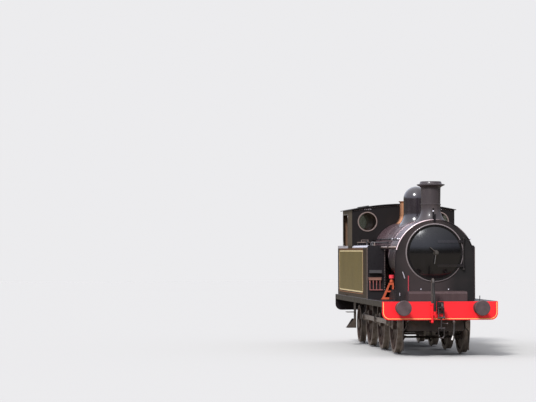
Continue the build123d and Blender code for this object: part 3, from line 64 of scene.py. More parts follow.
BOILER_Z = (SMOKEBOX_LOW.z + SMOKEBOX_HIGH.z) / 2
CAB_LOW, CAB_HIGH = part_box("cab_sides")
CAB_SHEET = 0.012
CAB_FRONT = CAB_LOW.y - CAB_SHEET
CAB_BACK = CAB_HIGH.y + CAB_SHEET
BUNKER_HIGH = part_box("bunker")[1]
DOOR_LOW, DOOR_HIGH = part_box("cab_door_left")
SIDES = ((1, "left"), (-1, "right"))
FORWARD = (0, -1, 0)
BACKWARD = (0, 1, 0)


# Camera
CAMERA_AT = (-7.998, BEAM_FACE - 50.0, RAIL + 2.308)
CAMERA_YAW = 0.08393
CAMERA_PITCH = 0.02169
CAMERA_ROLL = 0.0018
FOCAL_PX = 2298.5
WIDTH_PX = 536

camera_data = bpy.data.cameras.new("camera")
camera_data.sensor_width = 36
camera_data.lens = FOCAL_PX / WIDTH_PX * camera_data.sensor_width
camera_data.clip_end = 500
camera = bpy.data.objects.new("camera", camera_data)
camera.location = CAMERA_AT
camera.rotation_euler = (math.pi / 2 + CAMERA_PITCH, CAMERA_ROLL, -CAMERA_YAW)
bpy.context.scene.collection.objects.link(camera)
bpy.context.scene.camera = camera


# Materials
class Shader:
    """A node material under construction: its Principled shader and short ways to add nodes."""

    def __init__(self, name):
        self.material = bpy.data.materials.new(name)
        self.material.use_nodes = True
        self.tree = self.material.node_tree
        self.principled = self.tree.nodes["Principled BSDF"]
        self.place = self.add("ShaderNodeTexCoord").outputs["Object"]

    def add(self, kind, **settings):
        node = self.tree.nodes.new(kind)
        for key, value in settings.items():
            setattr(node, key, value)
        return node

    def feed(self, socket, value):
        """Links a socket to an output, or sets it to a constant."""
        if isinstance(value, bpy.types.NodeSocket):
            self.tree.links.new(value, socket)
        else:
            socket.default_value = value

    def math(self, operation, a, b=0.0):
        node = self.add("ShaderNodeMath", operation=operation)
        self.feed(node.inputs[0], a)
        self.feed(node.inputs[1], b)
        return node.outputs[0]

    def noise(self, scale, detail=3.0, stretch=(1, 1, 1)):
        """Noise from 0 to 1 over the object's own place, stretched along its axes."""
        mapping = self.add("ShaderNodeMapping")
        self.feed(mapping.inputs["Vector"], self.place)
        mapping.inputs["Scale"].default_value = stretch
        node = self.add("ShaderNodeTexNoise")
        self.feed(node.inputs["Vector"], mapping.outputs[0])
        node.inputs["Scale"].default_value = scale
        node.inputs["Detail"].default_value = detail
        return node.outputs["Fac"]

    def spread(self, value, low, high, to_low=0.0, to_high=1.0):
        """Maps a range of values onto another, held at its ends."""
        node = self.add("ShaderNodeMapRange")
        node.inputs["From Min"].default_value = low
        node.inputs["From Max"].default_value = high
        node.inputs["To Min"].default_value = to_low
        node.inputs["To Max"].default_value = to_high
        self.feed(node.inputs["Value"], value)
        return node.outputs[0]

    def mix(self, share, a, b):
        node = self.add("ShaderNodeMix", data_type="RGBA")
        self.feed(node.inputs[0], share)
        self.feed(node.inputs[6], a)
        self.feed(node.inputs[7], b)
        return node.outputs[2]

    def bump(self, height, distance, strength=1.0):
        node = self.add("ShaderNodeBump")
        node.inputs["Strength"].default_value = strength
        node.inputs["Distance"].default_value = distance
        self.feed(node.inputs["Height"], height)
        self.feed(self.principled.inputs["Normal"], node.outputs[0])

    def along(self, axis):
        """The place on the X (0), Y (1) or Z (2) axis, in metres."""
        split = self.add("ShaderNodeSeparateXYZ")
        self.feed(split.inputs[0], self.place)
        return split.outputs[axis]

    def set(self, **sockets):
        for name, value in sockets.items():
            self.principled.inputs[name.replace("_", " ")].default_value = value


def rgb(red, green, blue):
    """A linear colour from the 0 to 255 values of a screen."""
    return tuple(((c / 255) ** 2.2) for c in (red, green, blue)) + (1.0,)


def paint(name, colour, soiled, roughness=0.25, coat=0.0, soil=0.35, gloss=0.3):
    """Gloss or satin paint with cloudy soiling, rain streaks, road dirt low down and a slight waviness."""
    s = Shader(name)
    cloud = s.spread(s.noise(2.3, 5), 0.42, 0.68)
    streak = s.spread(s.noise(3, 4, (3, 3, 0.35)), 0.5, 0.72)
    low = s.spread(s.along(2), 2.0, 0.9)
    spots = s.math("ADD", s.math("MULTIPLY", cloud, streak), s.math("MULTIPLY", low, 0.5))
    dirt = s.math("MULTIPLY", spots, soil)
    s.feed(s.principled.inputs["Base Color"], s.mix(dirt, colour, soiled))
    grain = s.spread(s.noise(38, 4), 0.3, 0.7, roughness - 0.05, roughness + 0.08)
    s.feed(s.principled.inputs["Roughness"], s.math("ADD", grain, s.math("MULTIPLY", dirt, 0.35)))
    s.bump(s.noise(5.5, 2), 0.0006, 0.6)
    s.set(Coat_Weight=coat, Coat_Roughness=0.06, Specular_IOR_Level=gloss)
    return s.material


def metal(name, colour, soiled, roughness=0.35, soil=0.4, scale=9.0, metallic=1.0):
    """Bare metal with oil, stains and fine scratches."""
    s = Shader(name)
    cloud = s.spread(s.noise(scale, 6), 0.4, 0.7)
    s.feed(s.principled.inputs["Base Color"], s.mix(s.math("MULTIPLY", cloud, soil), colour, soiled))
    scratch = s.noise(70, 3, (1, 1, 6))
    grain = s.spread(scratch, 0.3, 0.7, roughness - 0.08, roughness + 0.1)
    s.feed(s.principled.inputs["Roughness"], s.math("ADD", grain, s.math("MULTIPLY", cloud, 0.12)))
    s.bump(scratch, 0.0004, 0.5)
    s.set(Metallic=metallic)
    return s.material


def cast(name, colour, soiled, roughness=0.6, scale=60.0, relief=0.0012):
    """Painted or oily castings and chassis plate with a coarse skin and brake dust."""
    s = Shader(name)
    cloud = s.spread(s.noise(5, 6), 0.35, 0.7)
    s.feed(s.principled.inputs["Base Color"], s.mix(cloud, colour, soiled))
    skin = s.noise(scale, 5)
    s.feed(s.principled.inputs["Roughness"], s.spread(skin, 0.3, 0.7, roughness - 0.12, roughness + 0.12))
    s.bump(skin, relief, 0.5)
    return s.material


def lined_sheet(name, panel, border, upper, low, high):
    """Side paint: a panel between two (Y, Z) corners, a dark border, and a third tone above the waist."""
    s = Shader(name)
    inside = 1.0
    for axis in (0, 1):
        centre, half = (low[axis] + high[axis]) / 2, (high[axis] - low[axis]) / 2
        away = s.math("ABSOLUTE", s.math("SUBTRACT", s.along(axis + 1), centre))
        inside = s.math("MULTIPLY", inside, s.math("LESS_THAN", away, half))
    cloud = s.spread(s.noise(1.6, 5, (1, 1, 1.6)), 0.35, 0.7)
    above = s.math("GREATER_THAN", s.along(2), WAIST_Z)
    tone = s.mix(above, s.mix(inside, border, panel), upper)
    dull = s.mix(0.55, tone, GRIME)
    dirt = s.math("MULTIPLY", cloud, 0.35)
    s.feed(s.principled.inputs["Base Color"], s.mix(dirt, tone, dull))
    s.feed(s.principled.inputs["Roughness"], s.spread(s.noise(30, 4), 0.3, 0.7, 0.3, 0.42))
    s.bump(s.noise(3.2, 2), 0.0012, 0.5)
    s.set(Specular_IOR_Level=0.08)
    return s.material


def clear_glass(name):
    """Slightly dusty window glass."""
    s = Shader(name)
    dust = s.spread(s.noise(4, 5), 0.45, 0.7, 0.02, 0.12)
    s.feed(s.principled.inputs["Roughness"], dust)
    s.set(Base_Color=(0.6, 0.66, 0.66, 1), Transmission_Weight=1.0, IOR=1.45, Alpha=0.85)
    return s.material


def graded(name, first, last, start, stop, roughness, metallic, axis=0, centre=None):
    """Paint or bare edge whose tone turns along an axis, or with the distance from a place on it: painted
    light and shade.
    """
    s = Shader(name)
    place = s.along(axis)
    if centre is not None:
        place = s.math("ABSOLUTE", s.math("SUBTRACT", place, centre))
    share = s.math("ADD", s.spread(place, start, stop), s.spread(s.noise(2.6, 5), 0.3, 0.7, -0.2, 0.2))
    s.feed(s.principled.inputs["Base Color"], s.mix(s.spread(share, 0.0, 1.0), first, last))
    grain = s.spread(s.noise(40, 4), 0.3, 0.7, roughness - 0.06, roughness + 0.08)
    s.feed(s.principled.inputs["Roughness"], grain)
    s.bump(s.noise(6, 3), 0.0006, 0.6)
    s.set(Metallic=metallic, Specular_IOR_Level=0.3)
    return s.material


def planks(name, colour, soiled):
    """Worn boards along the engine's width."""
    s = Shader(name)
    grain = s.spread(s.noise(14, 6, (0.25, 5, 1)), 0.35, 0.68)
    s.feed(s.principled.inputs["Base Color"], s.mix(grain, colour, soiled))
    s.bump(grain, 0.001, 0.6)
    s.set(Roughness=0.75)
    return s.material


PANEL_Z = (RAIL + 1.325, RAIL + 2.317)
PANEL_Y = (BEAM_FACE + 3.58, BEAM_FACE + 8.3)
WAIST_Z = TANK_TOP + 0.005
GRIME = (0.05, 0.045, 0.03, 1)

black = paint("running_black", rgb(24, 21, 25), rgb(56, 48, 47), 0.3)
smoke_black = paint("smokebox_black", rgb(34, 29, 32), rgb(74, 62, 60), 0.4, 0.0, 0.5, gloss=0.25)
# The door ring is black paint; its light grey colour is a painted sheen
ring_painted_sheen = paint("ring_painted_sheen", rgb(122, 113, 114), rgb(140, 128, 124), 0.35, 0.2, 0.3)
door_black = paint("door_black", rgb(15, 14, 17), rgb(44, 40, 44), 0.16, 0.35, 0.3, gloss=0.45)
blue_black = paint("tank_front_black", rgb(38, 36, 38), rgb(60, 56, 56), 0.3, 0.0, gloss=0.25)
# Mauve brown rather than black: a painted sheen of the sky on the boiler
boiler_paint = paint("boiler_paint", rgb(84, 66, 70), rgb(118, 96, 96), 0.26, 0.25, 0.5, gloss=0.45)
# Darker low down and lighter towards the top: painted shade and light on the smokebox wrapper
shaded_wrapper_tone = graded(
    "shaded_wrapper_tone", rgb(34, 26, 29), rgb(92, 76, 80), RAIL + 2.0, RAIL + 2.8, 0.28, 0.0, 2,
)
dome_black = paint("dome_black", rgb(42, 37, 42), rgb(74, 66, 70), 0.16, 0.7, 0.4, gloss=0.6)
chimney_black = paint("chimney_black", rgb(66, 60, 62), rgb(98, 88, 84), 0.38, 0.15, 0.6)
roof_grey = paint("roof_grey", rgb(52, 49, 50), rgb(88, 80, 74), 0.6, 0.0, 0.6)
cab_black = paint("cab_black", rgb(32, 29, 29), rgb(50, 46, 44), 0.42, gloss=0.2)
beam_red = paint("beam_red", rgb(246, 44, 52), rgb(170, 36, 40), 0.3, 0.2, 0.22)
# The olive panel tone is a painted reflection of sunlit grass in black paint
side_paint = lined_sheet(
    "side_olive_reflection", rgb(108, 95, 58), rgb(44, 32, 24), rgb(84, 74, 62),
    (PANEL_Y[0], PANEL_Z[0]), (PANEL_Y[1], PANEL_Z[1]),
)
valance_paint = paint("valance_grey", rgb(40, 36, 30), rgb(64, 57, 48), 0.4, 0.0, 0.6)
chassis = cast("chassis_dark", rgb(48, 42, 39), rgb(78, 66, 58), 0.55)
iron = cast("cast_iron", rgb(58, 52, 51), rgb(84, 74, 68), 0.5)
wheel_paint = cast("wheel_grime", rgb(70, 58, 55), rgb(108, 92, 84), 0.42)
steel = metal("bright_steel", rgb(170, 166, 162), rgb(104, 92, 80), 0.3)
dark_steel = metal("dark_steel", rgb(92, 88, 88), rgb(46, 42, 42), 0.3, 0.6)
rod_steel = metal("rod_steel", rgb(186, 178, 172), rgb(92, 82, 76), 0.36, 0.5, 9.0, 0.7)
handle_steel = metal("handle_steel", rgb(116, 112, 108), rgb(60, 52, 46), 0.32, 0.6)
tyre = metal("tyre_steel", rgb(158, 150, 146), rgb(84, 72, 66), 0.36, 0.6, 9.0, 0.8)
buffer_steel = metal("buffer_steel", rgb(98, 84, 86), rgb(56, 47, 48), 0.48, 0.7, 5.0, 0.5)
brass = metal("brass", rgb(226, 164, 124), rgb(140, 92, 70), 0.34)
# Pale metal of the window rings and lid rims; on the boiler bands, the side pipe, the tank corners and the
# front rivet rows its paleness is a painted highlight
pale_metal_and_highlight = metal("pale_metal_and_highlight", rgb(150, 132, 126), rgb(104, 92, 86), 0.35, 0.4, 9.0, 0.5)
glass = clear_glass("window_glass")
timber = planks("worn_boards", rgb(110, 82, 56), rgb(62, 46, 34))
rubber = cast("hose_rubber", rgb(30, 28, 29), rgb(52, 48, 46), 0.6, 30, 0.0006)
jack_paint = paint("jack_red", rgb(196, 92, 64), rgb(120, 62, 44), 0.38, 0.2, 0.4)
cap_red = paint("cap_red", rgb(232, 66, 78), rgb(160, 44, 50), 0.28, 0.3, 0.2)
cream = paint("lining_cream", rgb(226, 206, 156), rgb(168, 146, 104), 0.3, 0.2, 0.3)
yellow_line = paint("beam_line", rgb(240, 214, 130), rgb(190, 150, 96), 0.3, 0.2, 0.2)
inner_brown = paint("inner_cream", rgb(118, 92, 72), rgb(80, 62, 50), 0.5, 0.0, 0.5)
step_plate = metal("step_plate", rgb(82, 80, 82), rgb(56, 54, 56), 0.5, 0.4, 9.0, 0.4)
# Dark towards the engine's left-hand side and bright towards its right-hand side: a painted highlight along
# the front plate's edge bead
edge_painted_highlight = graded("edge_painted_highlight", rgb(36, 31, 31), rgb(240, 216, 220), 0.25, -0.35, 0.3, 0.4)
# Brighter towards the engine's right-hand side: a painted highlight along the bead at the wrapper's back
# edge
band_painted_highlight = graded("band_painted_highlight", rgb(40, 34, 35), rgb(170, 146, 150), 0.2, -0.5, 0.3, 0.5)
# The door straps are black paint, a little lighter here as a painted highlight
strap_painted_highlight = paint("strap_painted_highlight", rgb(30, 27, 30), rgb(62, 58, 60), 0.22, 0.3, 0.3, gloss=0.5)
cover_grey = paint("cover_grey", rgb(64, 49, 50), rgb(92, 76, 75), 0.45, 0.0, 0.5)
# Lighter near X = -0.22 and darker out towards the wings: painted shade on the smokebox front plate
shaded_plate_tone = graded("shaded_plate_tone", rgb(29, 27, 27), rgb(56, 48, 48), 0.72, 0.3, 0.46, 0.0, 0, -0.22)
# Near white, as the sky's reflection at a grazing angle looks: a painted highlight on the tanks' rolled top
# edges, the waist strips, the knobs, studs, bolt, link and peg
painted_sky_highlight = metal("painted_sky_highlight", rgb(222, 218, 228), rgb(176, 170, 178), 0.28, 0.3, 5.0, 0.6)
orange_line = paint("lining_orange", rgb(188, 120, 70), rgb(130, 84, 54), 0.35, 0.1, 0.3)
box_brown = paint("box_cream", rgb(140, 104, 92), rgb(96, 66, 58), 0.35, 0.1, 0.4)
pipe_pink = metal("pipe_pink", rgb(192, 122, 118), rgb(124, 66, 62), 0.35, 0.5, 12.0, 0.5)
red_rod = paint("red_rod", rgb(176, 64, 74), rgb(120, 44, 48), 0.3, 0.2, 0.3)


def dress(node, *materials, choose=None):
    """Gives a CAD node its materials; choose(centre, normal) says which of them a face takes."""
    mesh = nodes[node].data
    mesh.materials.clear()
    for material in materials:
        mesh.materials.append(material)
    for face in mesh.polygons:
        face.material_index = choose(face.center, face.normal) if choose else 0


PLAIN = {
    black: "footplate splashers lamp_irons filler_necks handrails".split(),
    cover_grey: ["front_cover"],
    smoke_black: ["smokebox"],
    shaded_plate_tone: ["smokebox_front"],
    chimney_black: ["chimney"],
    dome_black: ["dome"],
    roof_grey: ["cab_roof"],
    valance_paint: ["valances"],
    chassis: (
        "frame_plates frame_stretchers leaf_springs brake_hangers brake_beams guard_irons "
        "footsteps ashpan"
    ).split(),
    iron: "axleboxes cylinder_block blastpipe buffer_stocks".split(),
    steel: "slide_bars steam_hose_end".split(),
    dark_steel: "door_hinge drawgear".split(),
    handle_steel: ["door_handles"],
    rod_steel: (
        "coupling_rod_left coupling_rod_right leading_axle driving_axle rear_axle trailing_axle"
    ).split(),
    buffer_steel: ["buffer_heads"],
    brass: "safety_valves backhead_fittings".split(),
    glass: ["cab_glass"],
    timber: ["cab_floor"],
    rubber: "vacuum_hose steam_hose".split(),
}
for material, names in PLAIN.items():
    for name in names:
        dress(name, material)


# Faces of one node with different materials
SLACK = 0.002
RED_TOP = BEAM_TOP - 0.02
JACK_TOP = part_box("screw_jack")[1].z
CAP_DEPTH = 0.065
OIL_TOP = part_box("oil_box")[1].z
BOX_HEIGHT = 0.06
DOOR_DISH = 0.12
DISH_EDGE = 0.575
DISH_BASE = 0.033
DISH_R = (DISH_EDGE**2 + DOOR_DISH**2) / (2 * DOOR_DISH)
DISH_TOP = PLATE_FRONT - DISH_BASE - DOOR_DISH
STRAP_PROUD = 0.006
STRAP_FROM = 0.03
HINGE_FROM = 0.6
ROLL = 0.056
CLADDING_R = 0.7395
TYRE_RIM = 0.05
PIN_FROM = 0.86


def beam_face(centre, normal):
    """All of the front beam is red, and of the rear one only its outer face."""
    return 0 if abs(centre.y) > -BEAM_FACE - SLACK or centre.y < 0 else 1


def jack_face(centre, normal):
    """The jack's cap is brighter than its frame."""
    return 1 if centre.z > JACK_TOP - CAP_DEPTH else 0


def pipe_face(centre, normal):
    """The right-hand pipe is red up to the top of the beam, and the rest is dark iron."""
    return 0 if centre.z < RED_TOP and centre.x < 0 else 1


def oil_face(centre, normal):
    """The box is pinkish brown, and its drip pipes and gathering pipe are brighter."""
    return 0 if centre.z > OIL_TOP - BOX_HEIGHT else 1


def door_face(centre, normal):
    """The straps and the hinge eyes stand proud of the dished skin and take a lighter grey: a painted
    highlight.
    """
    away = math.hypot(centre.x, centre.z - BOILER_Z)
    skin = DISH_TOP + DISH_R - math.sqrt(DISH_R**2 - min(away, DISH_EDGE) ** 2)
    proud = centre.y < skin - STRAP_PROUD or centre.x > HINGE_FROM
    return 1 if proud and centre.x > STRAP_FROM else 0


def lid_face(centre, normal):
    """A filler lid's rim is worn bright."""
    return 1 if abs(normal.z) < 0.5 else 0


def outside_sheet(centre, normal):
    """The sheet's outer face takes the first material, and the rest takes the second."""
    return 0 if abs(normal.x) > 0.9 and abs(centre.x) > TANK_HALF - 2 * SLACK else 1


def tank_face(centre, normal):
    """The rolled top edge takes the near white painted highlight, and elsewhere as on the other sheets."""
    at_edge = centre.z > TANK_TOP - ROLL and abs(centre.x) > TANK_HALF - ROLL
    if at_edge and abs(normal.y) < 0.5 and normal.z > 0.02:
        return 2
    return outside_sheet(centre, normal)


def cab_end_face(centre, normal):
    """Window rings pale, the faces towards the cab's inside brown, the rest black."""
    if centre.y < CAB_FRONT - SLACK / 2 or centre.y > CAB_BACK + SLACK / 2:
        return 1
    inside = CAB_LOW.y - SLACK / 2 < centre.y < CAB_BACK and abs(normal.y) > 0.9
    return 2 if inside and (normal.y > 0) == (centre.y < CAB_LOW.y + 0.5) else 0


def boiler_face(centre, normal):
    """The bands stand proud of the cladding and take the pale painted highlight."""
    return 1 if math.hypot(centre.x, centre.z - BOILER_Z) > CLADDING_R else 0


def wheel_face(name):
    """Returns a chooser for one wheelset: the tread, the flange and the crank pins shine."""
    low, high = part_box(name)
    hub = (low + high) / 2
    tread = (high.z - low.z) / 2 - RAIL

    def chooser(centre, normal):
        away = math.hypot(centre.y - hub.y, centre.z - hub.z)
        return 1 if away > tread - TYRE_RIM or abs(centre.x) > PIN_FROM else 0

    return chooser


for names, materials, chooser in (
    ("buffer_beams", (beam_red, black), beam_face),
    ("screw_jack", (jack_paint, cap_red), jack_face),
    ("train_pipes", (beam_red, iron), pipe_face),
    ("oil_box", (box_brown, pipe_pink), oil_face),
    ("filler_lid_left filler_lid_right", (black, pale_metal_and_highlight), lid_face),
    ("smokebox_door", (door_black, strap_painted_highlight), door_face),
    ("side_tanks", (side_paint, blue_black, painted_sky_highlight), tank_face),
    ("bunker", (side_paint, black), outside_sheet),
    ("cab_sides cab_door_left cab_door_right", (side_paint, inner_brown), outside_sheet),
    ("cab_ends", (cab_black, pale_metal_and_highlight, inner_brown), cab_end_face),
    ("boiler", (boiler_paint, pale_metal_and_highlight), boiler_face),
):
    for name in names.split():
        dress(name, *materials, choose=chooser)
for name in ("leading_wheels", "driving_wheels", "rear_wheels", "trailing_wheels"):
    dress(name, wheel_paint, tyre, choose=wheel_face(name))


# Mesh and curve tools
def piece(name, shape, material, body="engine"):
    """Makes a mesh or a curve an object of the scene that rides on a CAD body."""
    made = bpy.data.objects.new(name, shape)
    bpy.context.scene.collection.objects.link(made)
    shape.materials.append(material)
    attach(made, body)
    return made


def from_bmesh(name, shape, smooth=True):
    """Turns a bmesh into a mesh, with smooth faces where asked."""
    bmesh.ops.recalc_face_normals(shape, faces=shape.faces)
    mesh = bpy.data.meshes.new(name)
    shape.to_mesh(mesh)
    shape.free()
    for face in mesh.polygons:
        face.use_smooth = smooth
    return mesh


def lathe(shape, profile, at, axis, steps=48, closed=False):
    """Turns (radius, distance along the axis) points about an axis through a point; returns the rings."""
    turn = Vector((0, 0, 1)).rotation_difference(Vector(axis)).to_matrix()
    rings = []
    for i in range(steps):
        angle = 2 * math.pi * i / steps
        points = [Vector((r * math.cos(angle), r * math.sin(angle), d)) for r, d in profile]
        rings.append([shape.verts.new(Vector(at) + turn @ point) for point in points])
    count = len(profile) if closed else len(profile) - 1
    for i in range(steps):
        here, following = rings[i], rings[(i + 1) % steps]
        for j in range(count):
            k = (j + 1) % len(profile)
            shape.faces.new((here[j], following[j], following[k], here[k]))
    return rings


def rivets(name, places, radius, material, body="engine", height=0.55, sides=8):
    """Round rivet or bolt heads at (point, outward normal) places, all in one piece."""
    shape = bmesh.new()
    profile = [(radius, 0.0), (radius * 0.8, radius * height * 0.7), (radius * 0.35, radius * height)]
    for point, normal in places:
        shape.faces.new([ring[-1] for ring in lathe(shape, profile, point, normal, sides)])
    return piece(name, from_bmesh(name, shape), material, body)


def bar(shape, low, high):
    """A box between two corners."""
    size = Vector(high) - Vector(low)
    place = Matrix.Translation((Vector(low) + Vector(high)) / 2) @ Matrix.Diagonal((*size, 1))
    bmesh.ops.create_cube(shape, size=1, matrix=place)


def line_of(start, end, count):
    """Evenly spaced points from start to end, both included."""
    a, b = Vector(start), Vector(end)
    return [a.lerp(b, i / (count - 1)) for i in range(count)]


def round_curve(name, kind, points, radius, bevel):
    """A curve of one spline with a round section and closed ends."""
    curve = bpy.data.curves.new(name, "CURVE")
    curve.dimensions = "3D"
    curve.bevel_depth = radius
    curve.bevel_resolution = bevel
    curve.use_fill_caps = True
    spline = curve.splines.new(kind)
    spline.points.add(len(points) - 1)
    for target, point in zip(spline.points, points):
        target.co = (*point, 1)
    return curve


def tube(name, points, radius, material, body="engine"):
    """A round bar or pipe along points."""
    return piece(name, round_curve(name, "POLY", points, radius, 3), material, body)


def hose(name, route, radius):
    """A hose on one smooth curve whose control points are the route's."""
    curve = round_curve(name, "NURBS", route, radius, 4)
    curve.resolution_u = 16
    spline = curve.splines[0]
    spline.order_u = 3
    spline.use_endpoint_u = True
    return piece(name, curve, rubber)


# Lining
LINE_PROUD = 0.0015
LINE_SUNK = 0.0005


def side_place(side):
    """Turns (y, z, distance from the middle) into a point on one side."""
    return lambda u, v, w: Vector((side * w, u, v))


def front_place(u, v, w):
    """Turns (x, z, distance ahead of the middle) into a point."""
    return Vector((u, -w, v))


def back_place(u, v, w):
    """Turns (x, z, distance behind the middle) into a point."""
    return Vector((u, w, v))


def ribbon(name, path, to_row, at, width, material, body="engine"):
    """A painted line as a thin raised strip on the left of an open path of (u, v) points."""
    shape = bmesh.new()
    rows = []
    for i, (u, v) in enumerate(path):
        before, after = path[max(i - 1, 0)], path[min(i + 1, len(path) - 1)]
        along = Vector((after[0] - before[0], after[1] - before[1])).normalized()
        inner = (u - along.y * width, v + along.x * width)
        corners = (((u, v), -LINE_SUNK), ((u, v), LINE_PROUD), (inner, LINE_PROUD), (inner, -LINE_SUNK))
        rows.append([shape.verts.new(to_row(*point, at + lift)) for point, lift in corners])
    for a, b in zip(rows, rows[1:]):
        for j in range(4):
            shape.faces.new((a[j], a[(j + 1) % 4], b[(j + 1) % 4], b[j]))
    shape.faces.new(rows[0])
    shape.faces.new(rows[-1])
    return piece(name, from_bmesh(name, shape, False), material, body)


def u_path(far, near, low, high, corner, steps=6):
    """A path from (far, high) to two rounded corners at near, and back along the bottom to (far, low)."""
    turn = 1 if near > far else -1
    path = [(far, high)]
    for centre_v, start in ((high - corner, 90), (low + corner, 0)):
        for i in range(steps + 1):
            angle = math.radians(start - 90 * i / steps)
            u = near - turn * corner + turn * corner * math.cos(angle)
            path.append((u, centre_v + corner * math.sin(angle)))
    return path + [(far, low)]


LINE_ROWS = (("cream", 0.0, 0.03, cream), ("orange", 0.036, 0.009, orange_line))
PANEL_CORNER = 0.06
DOOR_GAP = 0.012
DOOR_EDGE = 0.006
for side, word in SIDES:
    place = side_place(side)
    door = f"cab_door_{word}_body"
    start, stop = DOOR_LOW.y + DOOR_EDGE, DOOR_HIGH.y - DOOR_EDGE
    for row, out, width, material in LINE_ROWS:
        low, high = PANEL_Z[0] - out, PANEL_Z[1] + out
        ahead, behind = PANEL_Y[0] - out, PANEL_Y[1] + out
        front = u_path(DOOR_LOW.y - DOOR_GAP, ahead, low, high, PANEL_CORNER)
        rear = list(reversed(u_path(DOOR_HIGH.y + DOOR_GAP, behind, low, high, PANEL_CORNER)))
        for part, path, body in (
            ("tank", front, "engine"), ("bunker", rear, "engine"),
            ("door_top", [(stop, high), (start, high)], door),
            ("door_foot", [(start, low), (stop, low)], door),
        ):
            name = f"lining_{part}_{row}_{word}"
            ribbon(name, path, place, TANK_HALF, width, material, body)

# The waist strips carry the rolled edge's painted highlight along the doors and the bunker
WAIST_FOOT = TANK_TOP - 0.062
WAIST_TOP = TANK_TOP - 0.004
for side, word in SIDES:
    x0, x1 = sorted((side * (TANK_HALF - 0.001), side * (TANK_HALF + 0.0005)))
    for part, y0, y1, body in (
        ("door", DOOR_LOW.y + DOOR_EDGE, DOOR_HIGH.y - DOOR_EDGE, f"cab_door_{word}_body"),
        ("bunker", DOOR_HIGH.y + DOOR_GAP, BUNKER_HIGH.y - 0.01, "engine"),
    ):
        shape = bmesh.new()
        bar(shape, (x0, y0, WAIST_FOOT), (x1, y1, WAIST_TOP))
        strip = from_bmesh("waist_strip", shape, False)
        piece(f"waist_strip_{part}_{word}", strip, painted_sky_highlight, body)

BEAM_INSET = 0.02
BEAM_CORNER = 0.15
BEAM_LINE = 0.012
line_end = BEAM_HALF - BEAM_INSET
line_top = BEAM_TOP - BEAM_LINE
path = [(-line_end, line_top)]
for centre_u, start in ((BEAM_CORNER - line_end, 180), (line_end - BEAM_CORNER, 270)):
    for i in range(9):
        angle = math.radians(start + 90 * i / 8)
        v = BEAM_BOTTOM + BEAM_INSET + BEAM_CORNER * (1 + math.sin(angle))
        path.append((centre_u + BEAM_CORNER * math.cos(angle), v))
path.append((line_end, line_top))
for name, place in (("front", front_place), ("rear", back_place)):
    ribbon("lining_beam_" + name, path, place, -BEAM_FACE, BEAM_LINE, yellow_line)


# Smokebox front: the door's ring, the wrapper with its waist, beads and rivets
RING_R = 0.622
RING = [(RING_R + out, ahead) for out, ahead in ((0.004, 0.0), (0.004, 0.02), (0.02, 0.024), (0.032, 0.0))]
shape = bmesh.new()
lathe(shape, RING, (0, PLATE_FRONT, BOILER_Z), FORWARD, 96)
piece("door_ring", from_bmesh("door_ring", shape), ring_painted_sheen)

PLATE_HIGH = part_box("smokebox_front")[1]
PLATE_BACK = PLATE_HIGH.y
ARCH_R = PLATE_HIGH.x
ARCH_Z = PLATE_HIGH.z - ARCH_R
SKIN_R = ARCH_R + 0.002
SKIN_THICK = 0.012
LEG = (
    (0.893, 2.09), (0.876, 2.01), (0.845, 1.94), (0.8, 1.88), (0.745, 1.825), (0.69, 1.76),
    (0.65, 1.68), (0.625, 1.58), (0.615, 1.45), (0.615, FOOTPLATE_TOP),
)


def arch(radius, foot, steps=48):
    """(X, Z) points from the right-hand foot up, over the smokebox's arch and down to the left-hand foot."""
    points = [(-radius, foot)]
    for i in range(steps + 1):
        angle = math.pi * (1 - i / steps)
        points.append((radius * math.cos(angle), ARCH_Z + radius * math.sin(angle)))
    return points + [(radius, foot)]


def wrapper_section(grow, steps=48):
    """(X, Z) points of the wrapper's section, from the left-hand foot over the arch to the other foot."""
    leg = [(x + grow, z) for x, z in LEG]
    radius = SKIN_R + grow
    over = []
    for i in range(steps + 1):
        angle = math.pi * i / steps
        over.append((radius * math.cos(angle), ARCH_Z + radius * math.sin(angle)))
    return list(reversed(leg)) + over + [(-x, z) for x, z in leg]


shape = bmesh.new()
rows = []
for y, grow in (
    (PLATE_BACK, 0), (SMOKEBOX_HIGH.y, 0), (SMOKEBOX_HIGH.y, -SKIN_THICK), (PLATE_BACK, -SKIN_THICK),
):
    rows.append([shape.verts.new((x, y, z)) for x, z in wrapper_section(grow)])
for k in range(4):
    a, b = rows[k], rows[(k + 1) % 4]
    for i in range(len(a) - 1):
        shape.faces.new((a[i], a[i + 1], b[i + 1], b[i]))
for end in (0, -1):
    shape.faces.new([row[end] for row in rows])
piece("smokebox_wrapper", from_bmesh("smokebox_wrapper", shape, False), shaded_wrapper_tone)

shape = bmesh.new()
back_y = SMOKEBOX_HIGH.y - 0.004
outer = [shape.verts.new((x, back_y, z)) for x, z in wrapper_section(-SKIN_THICK / 2)]
middle = shape.verts.new((0, back_y, BOILER_Z - 0.2))
for a, b in zip(outer, outer[1:]):
    shape.faces.new((a, b, middle))
piece("smokebox_back_plate", from_bmesh("smokebox_back_plate", shape, False), smoke_black)


def bead(name, y, radius, low, high, size, material):
    """A half-round moulding along the arch between two heights: over the top, or one leg on either side."""
    points = [(x, y, z) for x, z in arch(radius, FOOTPLATE_TOP + 0.01, 64) if low < z < high]
    if high > ARCH_Z + radius:
        tube(name, points, size, material)
        return
    for side, word in SIDES:
        leg = [point for point in points if side * point[0] > 0]
        tube(f"{name}_{word}", leg, size, material)


